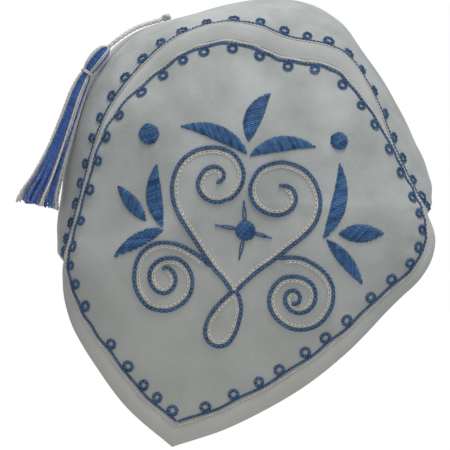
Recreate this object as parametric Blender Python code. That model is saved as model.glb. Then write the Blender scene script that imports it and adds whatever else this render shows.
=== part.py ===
# Embroidered felt cap with pointed ear flaps.
#
# Two shield-shaped side panels cover the sides of the head and hang down as ear flaps.
# A binding runs round each panel: it is the raised seam over the crown and the hem of the
# flap. One strip joins the panels and runs from the nape over the crown to the forehead.
# A short cord, sewn to the back of the crown, carries a tassel.
#
# Metres, +Z up, +X to the wearer's front, -Y to the wearer's right. The origin is the
# middle of the head opening, between the strip's hem at the nape and at the forehead.

import math
from collections import namedtuple
from functools import lru_cache

import bmesh
import bpy
from mathutils import Vector

# The cap's own sizes
HALF_LENGTH = 0.105
CROWN_HEIGHT = 0.128
FLAP_DROP = 0.1225
HALF_BREADTH = 0.080
STRIP_WIDTH = 0.096
FELT = 0.0024
BINDING_WIDTH = 0.0104
BINDING_THICKNESS = 0.0046
SEAM_GAP = 0.0003

# The cord and tassel
CORD_DIAMETER = 0.0026
CORD_LENGTH = 0.036
KNOT_PLACE = 0.375
KNOT_WIDTH = 0.0062
KNOT_THICKNESS = 0.0040
TASSEL_LENGTH = 0.0925
HEAD_LENGTH = 0.017
HEAD_DIAMETER = 0.0098
NECK_DIAMETER = 0.0062
SKIRT_DIAMETER = 0.025
LOCKS = 12
LOCK_DEPTH = 0.0011
WRAP_WIDTH = 0.0018
WRAP_THICKNESS = 0.0010

# The panel's roundest point, in shares of the half length and the crown height
BULGE_ALONG = -0.132
BULGE_UP = 0.08

# How full the panel is: the handles of the curve from its roundest point to its edge,
# in shares of that curve's reach
BULGE_HANDLE = 0.55
EDGE_HANDLE = 0.30

# How round the strip is across: 2 is a plain bow
STRIP_BOW = 2.2

# Faces
BACK_ARM_STEPS = 12
SEWN_STEPS = 36
FRONT_ARM_STEPS = 16
PANEL_RINGS = 10
STRIP_ACROSS_STEPS = 8
BINDING_END_STEPS = 3
CORD_STEPS = 20
TASSEL_POINTS_PER_LOCK = 3

# The panel's outer edge, from the flap's tip up its back arm, over the crown and down
# its front arm to the tip again.
#   along   share of HALF_LENGTH, towards the wearer's front
#   up      share of CROWN_HEIGHT above the origin, of FLAP_DROP below it
#   spread  0 at the strip's half width, 1 at HALF_BREADTH
#   roll    how far the edge has turned from facing sideways, in degrees; over 90 the
#           panel bulges over its own seam
#   band    width of the binding there, as a share of BINDING_WIDTH
EdgeRow = namedtuple("EdgeRow", "name along up spread roll band")
PANEL_EDGE = (
    EdgeRow("flap_tip", -0.132, -1.000, 0.62, 14, 1.00),
    EdgeRow("back_arm_low", -0.382, -0.885, 0.62, 15, 1.00),
    EdgeRow("back_arm_middle", -0.576, -0.746, 0.56, 22, 0.97),
    EdgeRow("back_arm_high", -0.738, -0.602, 0.42, 38, 0.90),
    EdgeRow("nape_flare", -0.828, -0.467, 0.22, 60, 0.86),
    EdgeRow("nape_corner", -0.860, -0.340, 0.06, 88, 0.90),
    EdgeRow("nape_seam", -0.848, -0.186, 0.00, 106, 1.00),
    EdgeRow("back_low", -0.834, 0.018, 0.00, 112, 1.00),
    EdgeRow("back_middle", -0.824, 0.208, 0.00, 104, 1.00),
    EdgeRow("back_high", -0.782, 0.387, 0.00, 80, 1.00),
    EdgeRow("back_shoulder", -0.677, 0.569, 0.02, 50, 1.06),
    EdgeRow("crown_rise", -0.540, 0.710, 0.04, 36, 1.12),
    EdgeRow("crown_back", -0.349, 0.801, 0.06, 28, 1.15),
    EdgeRow("crown_top", -0.165, 0.817, 0.08, 24, 1.15),
    EdgeRow("crown_dent", -0.007, 0.795, 0.10, 24, 1.13),
    EdgeRow("crown_front", 0.200, 0.799, 0.08, 28, 1.10),
    EdgeRow("front_rise", 0.340, 0.761, 0.04, 38, 1.05),
    EdgeRow("front_shoulder", 0.493, 0.623, 0.01, 66, 1.00),
    EdgeRow("front_high", 0.604, 0.461, 0.00, 106, 1.00),
    EdgeRow("front_middle", 0.704, 0.348, 0.00, 112, 1.00),
    EdgeRow("front_seam", 0.806, 0.250, 0.01, 106, 1.00),
    EdgeRow("temple_seam", 0.880, 0.195, 0.05, 84, 0.95),
    EdgeRow("temple_corner", 0.944, 0.090, 0.16, 62, 0.88),
    EdgeRow("temple_flare", 0.915, -0.050, 0.32, 48, 0.82),
    EdgeRow("front_arm_high", 0.790, -0.210, 0.48, 38, 0.82),
    EdgeRow("front_arm_upper", 0.630, -0.432, 0.58, 26, 0.90),
    EdgeRow("front_arm_middle", 0.428, -0.644, 0.62, 17, 0.98),
    EdgeRow("front_arm_low", 0.140, -0.857, 0.63, 15, 1.00),
    EdgeRow("flap_tip", -0.132, -1.000, 0.62, 14, 1.00),
)

# The strip's middle line, over the head from nape to forehead: one row for each row of
# the panel's edge between these two, which the strip is sewn to.
FIRST_SEWN = "nape_corner"
LAST_SEWN = "temple_seam"
CrestRow = namedtuple("CrestRow", "along up")
STRIP_CREST = (
    CrestRow(-0.940, -0.295),
    CrestRow(-0.975, -0.170),
    CrestRow(-1.000, 0.024),
    CrestRow(-1.000, 0.243),
    CrestRow(-0.972, 0.495),
    CrestRow(-0.830, 0.683),
    CrestRow(-0.639, 0.789),
    CrestRow(-0.394, 0.895),
    CrestRow(-0.177, 0.971),
    CrestRow(0.010, 1.000),
    CrestRow(0.207, 0.963),
    CrestRow(0.365, 0.870),
    CrestRow(0.562, 0.716),
    CrestRow(0.709, 0.574),
    CrestRow(0.818, 0.465),
    CrestRow(0.890, 0.362),
    CrestRow(0.920, 0.282),
)

# Each main dent of the panel's cloth: its middle as in PANEL_EDGE, its reach as a share
# of HALF_LENGTH, and how deep it sinks as a share of HALF_BREADTH.
DentRow = namedtuple("DentRow", "name along up reach depth")
PANEL_DENTS = (
    DentRow("under_crown_dent", 0.06, 0.62, 0.26, 0.030),
    DentRow("crown_swell", -0.24, 0.55, 0.22, -0.022),
    DentRow("behind_temple", 0.46, 0.12, 0.30, 0.020),
)

# The cord's route over the strip, from the knot's middle to the top of the tassel's head,
# one row for each quarter of its length.
#   aside   share of the strip's half width, towards the wearer's right
#   lift    share of the way from lying on the felt to the middle of the tassel's head
CordRow = namedtuple("CordRow", "aside lift")
CORD_ROUTE = (
    CordRow(0.10, 0.00),
    CordRow(0.22, 0.06),
    CordRow(0.36, 0.34),
    CordRow(0.46, 0.78),
    CordRow(0.48, 1.00),
)

ROW_NAMES = [row.name for row in PANEL_EDGE]
FIRST_SEWN_STATION = ROW_NAMES.index(FIRST_SEWN)
LAST_SEWN_STATION = ROW_NAMES.index(LAST_SEWN)
TIP_STATION = len(PANEL_EDGE) - 1


def height(share):
    """Height of a row whose place is a share of the crown or of the flap."""
    return share * (CROWN_HEIGHT if share > 0 else FLAP_DROP)


def smooth_rows(rows, station):
    """Reads a table of vectors between its rows, on a Catmull-Rom curve."""
    first = max(0, min(int(station), len(rows) - 2))
    f = station - first
    start, end = rows[first], rows[first + 1]
    before = rows[first - 1] if first else 2 * start - end
    after = rows[first + 2] if first + 2 < len(rows) else 2 * end - start
    return 0.5 * (
        2 * start
        + (end - before) * f
        + (2 * before - 5 * start + 4 * end - after) * f * f
        + (3 * start - before - 3 * end + after) * f * f * f
    )


def panel_edge(station):
    """(along, depth, up) and roll of the panel's outer edge."""
    strip_half = STRIP_WIDTH / 2
    rows = [
        Vector(
            (
                row.along * HALF_LENGTH,
                strip_half + row.spread * (HALF_BREADTH - strip_half),
                height(row.up),
                math.radians(row.roll),
            )
        )
        for row in PANEL_EDGE
    ]
    found = smooth_rows(rows, station)
    return Vector(found[:3]), found[3]


def dent_depth(along, up):
    """How deep the panel's dents are at a place on its face."""
    sunk = 0.0
    for row in PANEL_DENTS:
        aside = math.hypot(along - row.along * HALF_LENGTH, up - height(row.up))
        spread = aside / (row.reach * HALF_LENGTH)
        sunk += row.depth * HALF_BREADTH * math.exp(-spread * spread)
    return sunk


def panel_point(station, share):
    """Middle of the panel's wall, share 0 at its roundest point and 1 at its edge.

    The wall follows a cubic curve that leaves the roundest point flat and reaches the
    edge at the edge's own roll. Depth is Y without its sign.
    """
    edge, roll = panel_edge(station)
    bulge = Vector((BULGE_ALONG * HALF_LENGTH, HALF_BREADTH, height(BULGE_UP)))
    outward = Vector((edge.x - bulge.x, 0, edge.z - bulge.z))
    reach = outward.length
    outward.normalize()
    handle = EDGE_HANDLE * reach
    ends = (
        (0.0, HALF_BREADTH),
        (BULGE_HANDLE * reach, HALF_BREADTH),
        (reach - handle * math.cos(roll), edge.y + handle * math.sin(roll)),
        (reach, edge.y),
    )
    weights = (
        (1 - share) ** 3,
        3 * share * (1 - share) ** 2,
        3 * share * share * (1 - share),
        share**3,
    )
    out = sum(w * end[0] for w, end in zip(weights, ends))
    depth = sum(w * end[1] for w, end in zip(weights, ends))
    place = Vector((bulge.x, depth, bulge.z)) + outward * out
    place.y -= dent_depth(place.x, place.z)
    return place


def band_width(station):
    """Width of the binding at a station of the panel's edge."""
    rows = [Vector((row.band, 0)) for row in PANEL_EDGE]
    return BINDING_WIDTH * smooth_rows(rows, station).x


def share_from_edge(station, distance):
    """Share at which a spoke of the panel is this far from its edge."""
    steps = 40
    place = panel_point(station, 1.0)
    walked = 0.0
    for step in range(1, steps * 2):
        share = 1.0 - step / (2 * steps)
        inner = panel_point(station, share)
        stride = (inner - place).length
        if walked + stride >= distance:
            return share + (1 - (distance - walked) / stride) / (2 * steps)
        walked += stride
        place = inner
    return 0.5


def slant(station):
    """Sine of the angle between the panel's edge and the spoke that meets it."""
    low, high = max(station - 0.02, 0), min(station + 0.02, TIP_STATION)
    along_edge = panel_point(high, 1.0) - panel_point(low, 1.0)
    spoke = panel_point(station, 1.0) - panel_point(station, 0.96)
    return along_edge.cross(spoke).length / (along_edge.length * spoke.length)


def tip_slant():
    return (slant(0.0) + slant(TIP_STATION)) / 2


def panel_normal(station, share):
    """Unit normal of the panel's wall, pointing out of the cap; depth grows outwards."""
    low, high = max(station - 0.02, 0), min(station + 0.02, TIP_STATION)
    round_edge = panel_point(high, share) - panel_point(low, share)
    outward = panel_point(station, share) - panel_point(station, share - 0.01)
    normal = outward.cross(round_edge).normalized()
    if station == 0.0:
        normal = (normal + panel_normal(TIP_STATION, share)).normalized()
    return normal


class Seam:
    """The binding's place at one station of the panel's edge, with depth for Y."""

    def __init__(self, station):
        tip = station in (0.0, TIP_STATION)
        self.slant = tip_slant() if tip else slant(station)
        self.width = band_width(station)
        width = self.width / self.slant
        self.outer = panel_point(station, 1.0)
        self.inner = panel_point(station, share_from_edge(station, width))
        self.rim_share = share_from_edge(station, width + SEAM_GAP / self.slant)
        self.across = (self.outer - self.inner).normalized()
        if tip:
            self.normal = Vector((1, 0, 0)).cross(self.across).normalized()
        else:
            normal = panel_normal(station, 0.97)
            self.normal = normal - self.across * normal.dot(self.across)
            self.normal.normalize()
        self.hinge = self.outer - self.across * (BINDING_THICKNESS / 2 / self.slant)


@lru_cache(maxsize=None)
def seam_at(station):
    return Seam(station)


def stations():
    """Stations of the panel's spokes, from tip to tip, and of the sewn ones."""
    back = [FIRST_SEWN_STATION * i / BACK_ARM_STEPS for i in range(BACK_ARM_STEPS)]
    sewn_span = LAST_SEWN_STATION - FIRST_SEWN_STATION
    sewn = [
        FIRST_SEWN_STATION + sewn_span * i / SEWN_STEPS for i in range(SEWN_STEPS + 1)
    ]
    front_span = TIP_STATION - LAST_SEWN_STATION
    front = [
        LAST_SEWN_STATION + front_span * i / FRONT_ARM_STEPS
        for i in range(1, FRONT_ARM_STEPS)
    ]
    return back + sewn + front, sewn


def material(name, colour, roughness):
    made = bpy.data.materials.new(name)
    made.use_nodes = True
    shader = made.node_tree.nodes["Principled BSDF"]
    shader.inputs["Base Color"].default_value = (*colour, 1)
    shader.inputs["Roughness"].default_value = roughness
    shader.inputs["Metallic"].default_value = 0.0
    return made


def mesh_object(name, points, faces, finish, parent):
    mesh = bpy.data.meshes.new(name)
    mesh.from_pydata([tuple(p) for p in points], [], faces)
    shape = bmesh.new()
    shape.from_mesh(mesh)
    bmesh.ops.recalc_face_normals(shape, faces=shape.faces)
    shape.to_mesh(mesh)
    shape.free()
    mesh.shade_smooth()
    mesh.set_sharp_from_angle(angle=math.radians(40))
    mesh.materials.append(finish)
    made = bpy.data.objects.new(name, mesh)
    bpy.context.scene.collection.objects.link(made)
    made.parent = parent
    return made


def felt_wall(name, points, normals, faces, finish, parent):
    """Closed wall of felt, half on each side of a sheet, with a plain cut edge."""
    count = len(points)
    outer = [p + n * FELT / 2 for p, n in zip(points, normals)]
    inner = [p - n * FELT / 2 for p, n in zip(points, normals)]
    sides = [(a, b) for face in faces for a, b in zip(face, face[1:] + face[:1])]
    known = set(sides)
    walls = [tuple(face) for face in faces]
    walls += [tuple(i + count for i in reversed(face)) for face in faces]
    walls += [(b, a, a + count, b + count) for a, b in sides if (b, a) not in known]
    return mesh_object(name, outer + inner, walls, finish, parent)


def loft(name, rings, finish, parent, endless=False):
    """Skins rings of points into one closed body: a loop of rings, or capped ends."""
    count = len(rings[0])
    points = [p for ring in rings for p in ring]
    faces = []
    for r in range(len(rings) if endless else len(rings) - 1):
        near, far = r * count, (r + 1) % len(rings) * count
        for i in range(count):
            j = (i + 1) % count
            faces.append((near + i, near + j, far + j, far + i))
    if not endless:
        faces.append(tuple(range(count)))
        faces.append(tuple(range((len(rings) - 1) * count, len(rings) * count)))
    return mesh_object(name, points, faces, finish, parent)


def on_side(place, side):
    """A place given with its depth, on the wearer's right (-1) or left (+1)."""
    return Vector((place.x, side * place.y, place.z))


def side_panel(name, side, seams, spokes, finish, parent):
    """Shield of felt: rings round its roundest point, out to the binding."""
    points = [on_side(panel_point(0.0, 0.0), side)]
    normals = [on_side(Vector((0, 1, 0)), side)]
    for ring in range(1, PANEL_RINGS + 1):
        for station, seam in zip(spokes, seams):
            share = seam.rim_share * ring / PANEL_RINGS
            points.append(on_side(panel_point(station, share), side))
            rim = ring == PANEL_RINGS
            normal = seam.normal if rim else panel_normal(station, share)
            normals.append(on_side(normal, side))
    count = len(spokes)
    faces = [(0, 1 + i, 1 + (i + 1) % count) for i in range(count)]
    for ring in range(PANEL_RINGS - 1):
        near, far = 1 + ring * count, 1 + (ring + 1) * count
        for i in range(count):
            j = (i + 1) % count
            faces.append((near + i, far + i, far + j, near + j))
    return felt_wall(name, points, normals, faces, finish, parent)


def binding(name, side, seams, finish, parent):
    """Folded band with round edges, all round the panel."""
    rings = []
    half_thickness = BINDING_THICKNESS / 2
    for seam in seams:
        straight = (seam.width - BINDING_THICKNESS) / 2
        middle = (seam.outer + seam.inner) / 2
        ring = []
        for end in (1, -1):
            for step in range(BINDING_END_STEPS + 1):
                turn = math.pi * (step / BINDING_END_STEPS - 0.5)
                across = end * (straight + half_thickness * math.cos(turn))
                off = end * half_thickness * math.sin(turn)
                place = middle + seam.across * (across / seam.slant) + seam.normal * off
                ring.append(on_side(place, side))
        rings.append(ring)
    return loft(name, rings, finish, parent, endless=True)


def crest(station):
    """Middle line of the strip, at a station of the panel's edge."""
    rows = [Vector((row.along * HALF_LENGTH, 0, height(row.up))) for row in STRIP_CREST]
    return smooth_rows(rows, station - FIRST_SEWN_STATION)


def strip_point(station, across, hinge):
    """Middle of the strip's wall: across is -1 at the right seam and 1 at the left."""
    top = crest(station)
    bow = abs(across) ** STRIP_BOW
    return Vector(
        (
            top.x + (hinge.x - top.x) * bow,
            across * hinge.y,
            top.z + (hinge.z - top.z) * bow,
        )
    )


def along_strip(station, across):
    """Step along the strip, at this share across it."""
    low = max(station - 0.02, FIRST_SEWN_STATION)
    high = min(station + 0.02, LAST_SEWN_STATION)
    step = strip_point(high, across, seam_at(high).hinge)
    return step - strip_point(low, across, seam_at(low).hinge)


def strip_normal(station, across):
    """Unit normal of the strip's wall, pointing out of the cap."""
    hinge = seam_at(station).hinge
    sideways = strip_point(station, across + 0.02, hinge)
    sideways -= strip_point(station, across - 0.02, hinge)
    return along_strip(station, across).cross(sideways).normalized()


def strip_reach(station):
    """Share across at which the strip's wall stops, clear of the binding."""
    hinge = seam_at(station).hinge
    inward = hinge - strip_point(station, 0.95, hinge)
    seam = along_strip(station, 1.0)
    square = seam.cross(inward).length / seam.length / 0.05
    return 1 - (BINDING_THICKNESS / 2 + SEAM_GAP) / square


def strip_face(station, across):
    """A place on the strip's outer face, and the outward normal there."""
    normal = strip_normal(station, across)
    place = strip_point(station, across, seam_at(station).hinge)
    return place + normal * FELT / 2, normal


def crown_strip(name, sewn, finish, parent):
    """Bowed strip between the two bindings, from nape to forehead."""
    points, normals = [], []
    for station in sewn:
        reach = strip_reach(station)
        for i in range(STRIP_ACROSS_STEPS + 1):
            across = reach * (2 * i / STRIP_ACROSS_STEPS - 1)
            points.append(strip_point(station, across, seam_at(station).hinge))
            normals.append(strip_normal(station, across))
    count = STRIP_ACROSS_STEPS + 1
    faces = []
    for row in range(len(sewn) - 1):
        for i in range(STRIP_ACROSS_STEPS):
            near, far = row * count + i, (row + 1) * count + i
            faces.append((near, near + 1, far + 1, far))
    return felt_wall(name, points, normals, faces, finish, parent)


def walk_down(start, distance):
    """Station that lies this far down the back of the crown from a station."""
    step = 0.01
    walked, station = 0.0, start
    place = crest(station)
    while walked < distance and station > FIRST_SEWN_STATION + 2 * step:
        station -= step
        lower = crest(station)
        walked += (lower - place).length
        place = lower
    return station


def knot_station():
    return FIRST_SEWN_STATION + KNOT_PLACE * (LAST_SEWN_STATION - FIRST_SEWN_STATION)


def cord_place(distance):
    """Middle of the cord, this far from the knot's middle."""
    quarters = len(CORD_ROUTE) - 1
    route = []
    for i, row in enumerate(CORD_ROUTE):
        station = walk_down(knot_station(), CORD_LENGTH * i / quarters)
        place, normal = strip_face(station, -row.aside)
        radius = (CORD_DIAMETER + (HEAD_DIAMETER - CORD_DIAMETER) * row.lift) / 2
        route.append(place + normal * (radius + SEAM_GAP))
    return smooth_rows(route, quarters * distance / CORD_LENGTH)


def crown_knot(finish, parent):
    """Flat knot that the cord is sewn down with."""
    place, normal = strip_face(knot_station(), -CORD_ROUTE[0].aside)
    bpy.ops.mesh.primitive_uv_sphere_add(segments=12, ring_count=8, radius=0.5)
    knot = bpy.context.object
    knot.name = knot.data.name = "cord_knot"
    knot.scale = (KNOT_WIDTH, KNOT_WIDTH, KNOT_THICKNESS)
    bpy.ops.object.transform_apply(location=False, rotation=False, scale=True)
    knot.location = place + normal * (KNOT_THICKNESS / 2 + SEAM_GAP)
    knot.rotation_mode = "QUATERNION"
    knot.rotation_quaternion = normal.to_track_quat("Z", "Y")
    knot.data.materials.append(finish)
    knot.data.shade_smooth()
    knot.parent = parent
    return knot


def tassel_cord(finish, parent):
    """Cord from the knot to the top of the tassel's head."""
    first = KNOT_WIDTH / 2 + SEAM_GAP
    last = CORD_LENGTH - 2 * SEAM_GAP
    curve = bpy.data.curves.new("tassel_cord", "CURVE")
    curve.dimensions = "3D"
    curve.bevel_depth = CORD_DIAMETER / 2
    curve.bevel_resolution = 2
    curve.use_fill_caps = True
    line = curve.splines.new("POLY")
    line.points.add(CORD_STEPS)
    for i, point in enumerate(line.points):
        distance = first + (last - first) * i / CORD_STEPS
        point.co = (*cord_place(distance), 1)
    curve.materials.append(finish)
    made = bpy.data.objects.new("tassel_cord", curve)
    bpy.context.scene.collection.objects.link(made)
    made.parent = parent
    return made


# Each ring of the tassel, from the top of its head to the end of its skirt.
#   down    share of HEAD_LENGTH from the top to the neck, then 1 plus the share of the
#           skirt's own length
#   size    share of the head's, the neck's or the skirt's diameter, as named
#   flute   share of LOCK_DEPTH
TasselRow = namedtuple("TasselRow", "down of size flute")
TASSEL_RINGS = (
    TasselRow(0.00, "head", 0.42, 0.0),
    TasselRow(0.10, "head", 0.74, 0.2),
    TasselRow(0.30, "head", 0.98, 0.3),
    TasselRow(0.55, "head", 1.00, 0.3),
    TasselRow(0.80, "head", 0.86, 0.3),
    TasselRow(0.93, "neck", 1.00, 0.0),
    TasselRow(1.00, "neck", 1.00, 0.0),
    TasselRow(1.04, "skirt", 0.34, 0.3),
    TasselRow(1.16, "skirt", 0.41, 0.5),
    TasselRow(1.38, "skirt", 0.47, 0.6),
    TasselRow(1.60, "skirt", 0.57, 0.8),
    TasselRow(1.80, "skirt", 0.76, 0.9),
    TasselRow(1.93, "skirt", 0.94, 1.0),
    TasselRow(2.00, "skirt", 1.00, 1.0),
)


def tassel_distance(down):
    """Distance from the top of the head of a ring's down column."""
    if down <= 1:
        return down * HEAD_LENGTH
    return HEAD_LENGTH + (down - 1) * (TASSEL_LENGTH - HEAD_LENGTH)


def tassel_axis(distance, radius):
    """Middle of the tassel and its outward normal, where it lies on the strip."""
    station = walk_down(knot_station(), CORD_LENGTH + distance)
    place, normal = strip_face(station, -CORD_ROUTE[-1].aside)
    return place + normal * (radius + SEAM_GAP), normal


def tassel_frames():
    """Middle, downward direction, sideways direction and radius of each ring."""
    widths = {"head": HEAD_DIAMETER, "neck": NECK_DIAMETER, "skirt": SKIRT_DIAMETER}
    frames = []
    for row in TASSEL_RINGS:
        radius = row.size * widths[row.of] / 2
        lie = max(radius, HEAD_DIAMETER / 2)
        middle, normal = tassel_axis(tassel_distance(row.down), lie)
        frames.append([middle, normal, radius])
    for i, frame in enumerate(frames):
        before, after = frames[max(i - 1, 0)][0], frames[min(i + 1, len(frames) - 1)][0]
        down = (after - before).normalized()
        out = (frame[1] - down * frame[1].dot(down)).normalized()
        frame.append(out)
        frame.append(down.cross(out))
    return frames


def tassel(finish, parent):
    """Head and skirt in one body, with a flute between each two locks of yarn."""
    rings = []
    count = LOCKS * TASSEL_POINTS_PER_LOCK
    for row, (middle, _, radius, out, side) in zip(TASSEL_RINGS, tassel_frames()):
        ring = []
        for i in range(count):
            turn = 2 * math.pi * i / count
            valley = 0.5 - 0.5 * math.cos(LOCKS * turn)
            reach = radius - row.flute * LOCK_DEPTH * (1 - valley)
            ring.append(middle + (out * math.cos(turn) + side * math.sin(turn)) * reach)
        rings.append(ring)
    return loft("tassel", rings, finish, parent)


def neck_wrap(finish, parent):
    """Thread wound round the tassel's neck."""
    frames = tassel_frames()
    above, below = frames[5], frames[6]
    middle = (above[0] + below[0]) / 2
    out, side = above[3], above[4]
    down = out.cross(side) * -1
    inner = NECK_DIAMETER / 2 + SEAM_GAP
    section_steps, round_steps = 6, 20
    rings = []
    for i in range(round_steps):
        turn = 2 * math.pi * i / round_steps
        away = out * math.cos(turn) + side * math.sin(turn)
        ring = []
        for j in range(section_steps):
            lean = 2 * math.pi * j / section_steps
            reach = inner + WRAP_THICKNESS / 2 * (1 + math.cos(lean))
            along = WRAP_WIDTH / 2 * math.sin(lean)
            ring.append(middle + away * reach + down * along)
        rings.append(ring)
    return loft("tassel_neck_wrap", rings, finish, parent, endless=True)


def main():
    for old in list(bpy.data.objects):
        bpy.data.objects.remove(old, do_unlink=True)
    felt = material("white_felt", (0.60, 0.63, 0.63), 0.95)
    bound_edge = material("binding_felt", (0.64, 0.65, 0.64), 0.90)
    white_yarn = material("white_yarn", (0.70, 0.69, 0.64), 0.80)
    blue_yarn = material("blue_yarn", (0.05, 0.13, 0.36), 0.70)
    cap = bpy.data.objects.new("cap", None)
    bpy.context.scene.collection.objects.link(cap)
    spokes, sewn = stations()
    seams = [seam_at(station) for station in spokes]
    for hand, side in (("right", -1), ("left", 1)):
        side_panel(f"{hand}_side_panel", side, seams, spokes, felt, cap)
        binding(f"{hand}_binding", side, seams, bound_edge, cap)
    crown_strip("crown_strip", sewn, felt, cap)
    crown_knot(white_yarn, cap)
    tassel_cord(white_yarn, cap)
    tassel(blue_yarn, cap)
    neck_wrap(white_yarn, cap)


main()
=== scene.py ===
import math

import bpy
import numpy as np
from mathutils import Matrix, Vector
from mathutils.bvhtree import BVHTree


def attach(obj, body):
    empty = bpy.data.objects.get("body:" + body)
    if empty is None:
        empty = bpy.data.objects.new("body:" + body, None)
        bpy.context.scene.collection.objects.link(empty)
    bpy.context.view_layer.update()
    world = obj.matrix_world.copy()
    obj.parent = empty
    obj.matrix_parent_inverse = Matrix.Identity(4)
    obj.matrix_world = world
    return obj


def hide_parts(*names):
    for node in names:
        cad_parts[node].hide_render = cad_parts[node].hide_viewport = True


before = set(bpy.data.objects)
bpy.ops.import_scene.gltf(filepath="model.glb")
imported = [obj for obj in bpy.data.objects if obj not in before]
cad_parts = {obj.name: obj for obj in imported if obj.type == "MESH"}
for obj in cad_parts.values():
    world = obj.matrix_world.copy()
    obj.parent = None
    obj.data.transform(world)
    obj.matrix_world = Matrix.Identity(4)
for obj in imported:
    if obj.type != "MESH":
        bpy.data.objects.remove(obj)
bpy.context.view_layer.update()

# %% [markdown]
# # An embroidered felt cap
#
# The cap is cut from thick pale felt: two shield-shaped side panels that hang down as
# ear flaps, and one strip that joins them over the head. A padded binding closes every
# edge. Blue and white chain stitch makes a heart and scrolls on each panel, satin stitch
# makes the leaves, and a yarn tassel hangs from the back of the crown.
#
# The solids give the main forms. This lesson dresses them: smoother felt, stitches as
# real thread, yarn strand by strand. Everything is worked out from the same few sizes,
# so the thread lands on the cloth.

MM = 0.001
print("nodes:", ", ".join(sorted(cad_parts)))

# %% [markdown]
# ## The camera
#
# The photograph looks square at the wearer's right side, from about a metre, with the
# cap rolled a little in the frame. A camera can be placed by eye, but a long lens aimed
# at a measured point keeps the outline where it belongs. The roll is applied last, about
# the line of sight.

# %% A long lens, one metre away
look_at = Vector((-0.0118, -0.042, -0.0026))
away = 1.0
frame_width = 0.243
lens_data = bpy.data.cameras.new("side_view")
lens_data.sensor_width = 36
lens_data.lens = 36 * away / frame_width
camera = bpy.data.objects.new("side_view", lens_data)
bpy.context.scene.collection.objects.link(camera)
camera.location = look_at + Vector((0, -away, 0))
aim = (look_at - camera.location).to_track_quat("-Z", "Y").to_matrix().to_4x4()
roll = Matrix.Rotation(math.radians(12.4), 4, "Z")
camera.matrix_world = Matrix.Translation(camera.location) @ aim @ roll
bpy.context.scene.camera = camera
bpy.context.scene.view_settings.view_transform = "Standard"
print("lens", round(lens_data.lens, 1), "mm")

# %% [markdown]
# ## The pattern of the cap
#
# A maker keeps the cap as a flat pattern. Here it is a table of the panel's outer edge,
# walked from the flap's tip up its back arm, over the crown and down the front arm. Each
# row is a share of a named size. A smooth curve through the rows gives any place between
# them, and a second table gives the strip's middle line from nape to forehead.

# %% Sizes and tables
HALF_LENGTH, CROWN_HEIGHT, FLAP_DROP, HALF_BREADTH = 0.105, 0.128, 0.1225, 0.080
STRIP_HALF, FELT, SEAM_GAP = 0.048, 0.0024, 0.0003
BINDING_WIDTH, BINDING_THICKNESS = 0.0104, 0.0046
BULGE_ALONG, BULGE_UP, BULGE_HANDLE, EDGE_HANDLE, STRIP_BOW = -0.132, 0.08, 0.55, 0.30, 2.2
# along, up, spread, roll, band
PANEL_EDGE = np.array([
    (-0.132, -1.000, 0.62, 14, 1.00),
    (-0.382, -0.885, 0.62, 15, 1.00),
    (-0.576, -0.746, 0.56, 22, 0.97),
    (-0.738, -0.602, 0.42, 38, 0.90),
    (-0.828, -0.467, 0.22, 60, 0.86),
    (-0.860, -0.340, 0.06, 88, 0.90),
    (-0.848, -0.186, 0.00, 106, 1.00),
    (-0.834, 0.018, 0.00, 112, 1.00),
    (-0.824, 0.208, 0.00, 104, 1.00),
    (-0.782, 0.387, 0.00, 80, 1.00),
    (-0.677, 0.569, 0.02, 50, 1.06),
    (-0.540, 0.710, 0.04, 36, 1.12),
    (-0.349, 0.801, 0.06, 28, 1.15),
    (-0.165, 0.817, 0.08, 24, 1.15),
    (-0.007, 0.795, 0.10, 24, 1.13),
    (0.200, 0.799, 0.08, 28, 1.10),
    (0.340, 0.761, 0.04, 38, 1.05),
    (0.493, 0.623, 0.01, 66, 1.00),
    (0.604, 0.461, 0.00, 106, 1.00),
    (0.704, 0.348, 0.00, 112, 1.00),
    (0.806, 0.250, 0.01, 106, 1.00),
    (0.880, 0.195, 0.05, 84, 0.95),
    (0.944, 0.090, 0.16, 62, 0.88),
    (0.915, -0.050, 0.32, 48, 0.82),
    (0.790, -0.210, 0.48, 38, 0.82),
    (0.630, -0.432, 0.58, 26, 0.90),
    (0.428, -0.644, 0.62, 17, 0.98),
    (0.140, -0.857, 0.63, 15, 1.00),
    (-0.132, -1.000, 0.62, 14, 1.00),
])
STRIP_CREST = np.array([
    (-0.940, -0.295), (-0.975, -0.170), (-1.000, 0.024), (-1.000, 0.243), (-0.972, 0.495),
    (-0.830, 0.683), (-0.639, 0.789), (-0.394, 0.895), (-0.177, 0.971), (0.010, 1.000),
    (0.207, 0.963), (0.365, 0.870), (0.562, 0.716), (0.709, 0.574), (0.818, 0.465),
    (0.890, 0.362), (0.920, 0.282),
])
# along, up, reach, depth
PANEL_DENTS = ((0.06, 0.62, 0.26, 0.030), (-0.24, 0.55, 0.22, -0.022), (0.46, 0.12, 0.30, 0.020))
FIRST_SEWN, LAST_SEWN, TIP = 5, 21, 28


def height(share):
    """Height of a place that is a share of the crown or of the flap."""
    return np.where(share > 0, share * CROWN_HEIGHT, share * FLAP_DROP)


edge_rows = np.column_stack([
    PANEL_EDGE[:, 0] * HALF_LENGTH,
    STRIP_HALF + PANEL_EDGE[:, 2] * (HALF_BREADTH - STRIP_HALF),
    height(PANEL_EDGE[:, 1]),
    np.radians(PANEL_EDGE[:, 3]),
    PANEL_EDGE[:, 4],
])
crest_rows = np.column_stack([
    STRIP_CREST[:, 0] * HALF_LENGTH, 0 * STRIP_CREST[:, 0], height(STRIP_CREST[:, 1]),
])
bulge = np.array((BULGE_ALONG * HALF_LENGTH, HALF_BREADTH, BULGE_UP * CROWN_HEIGHT))
print("panel edge", len(edge_rows), "rows; crest", len(crest_rows), "rows")

# %% Reading the tables at any place


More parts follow.
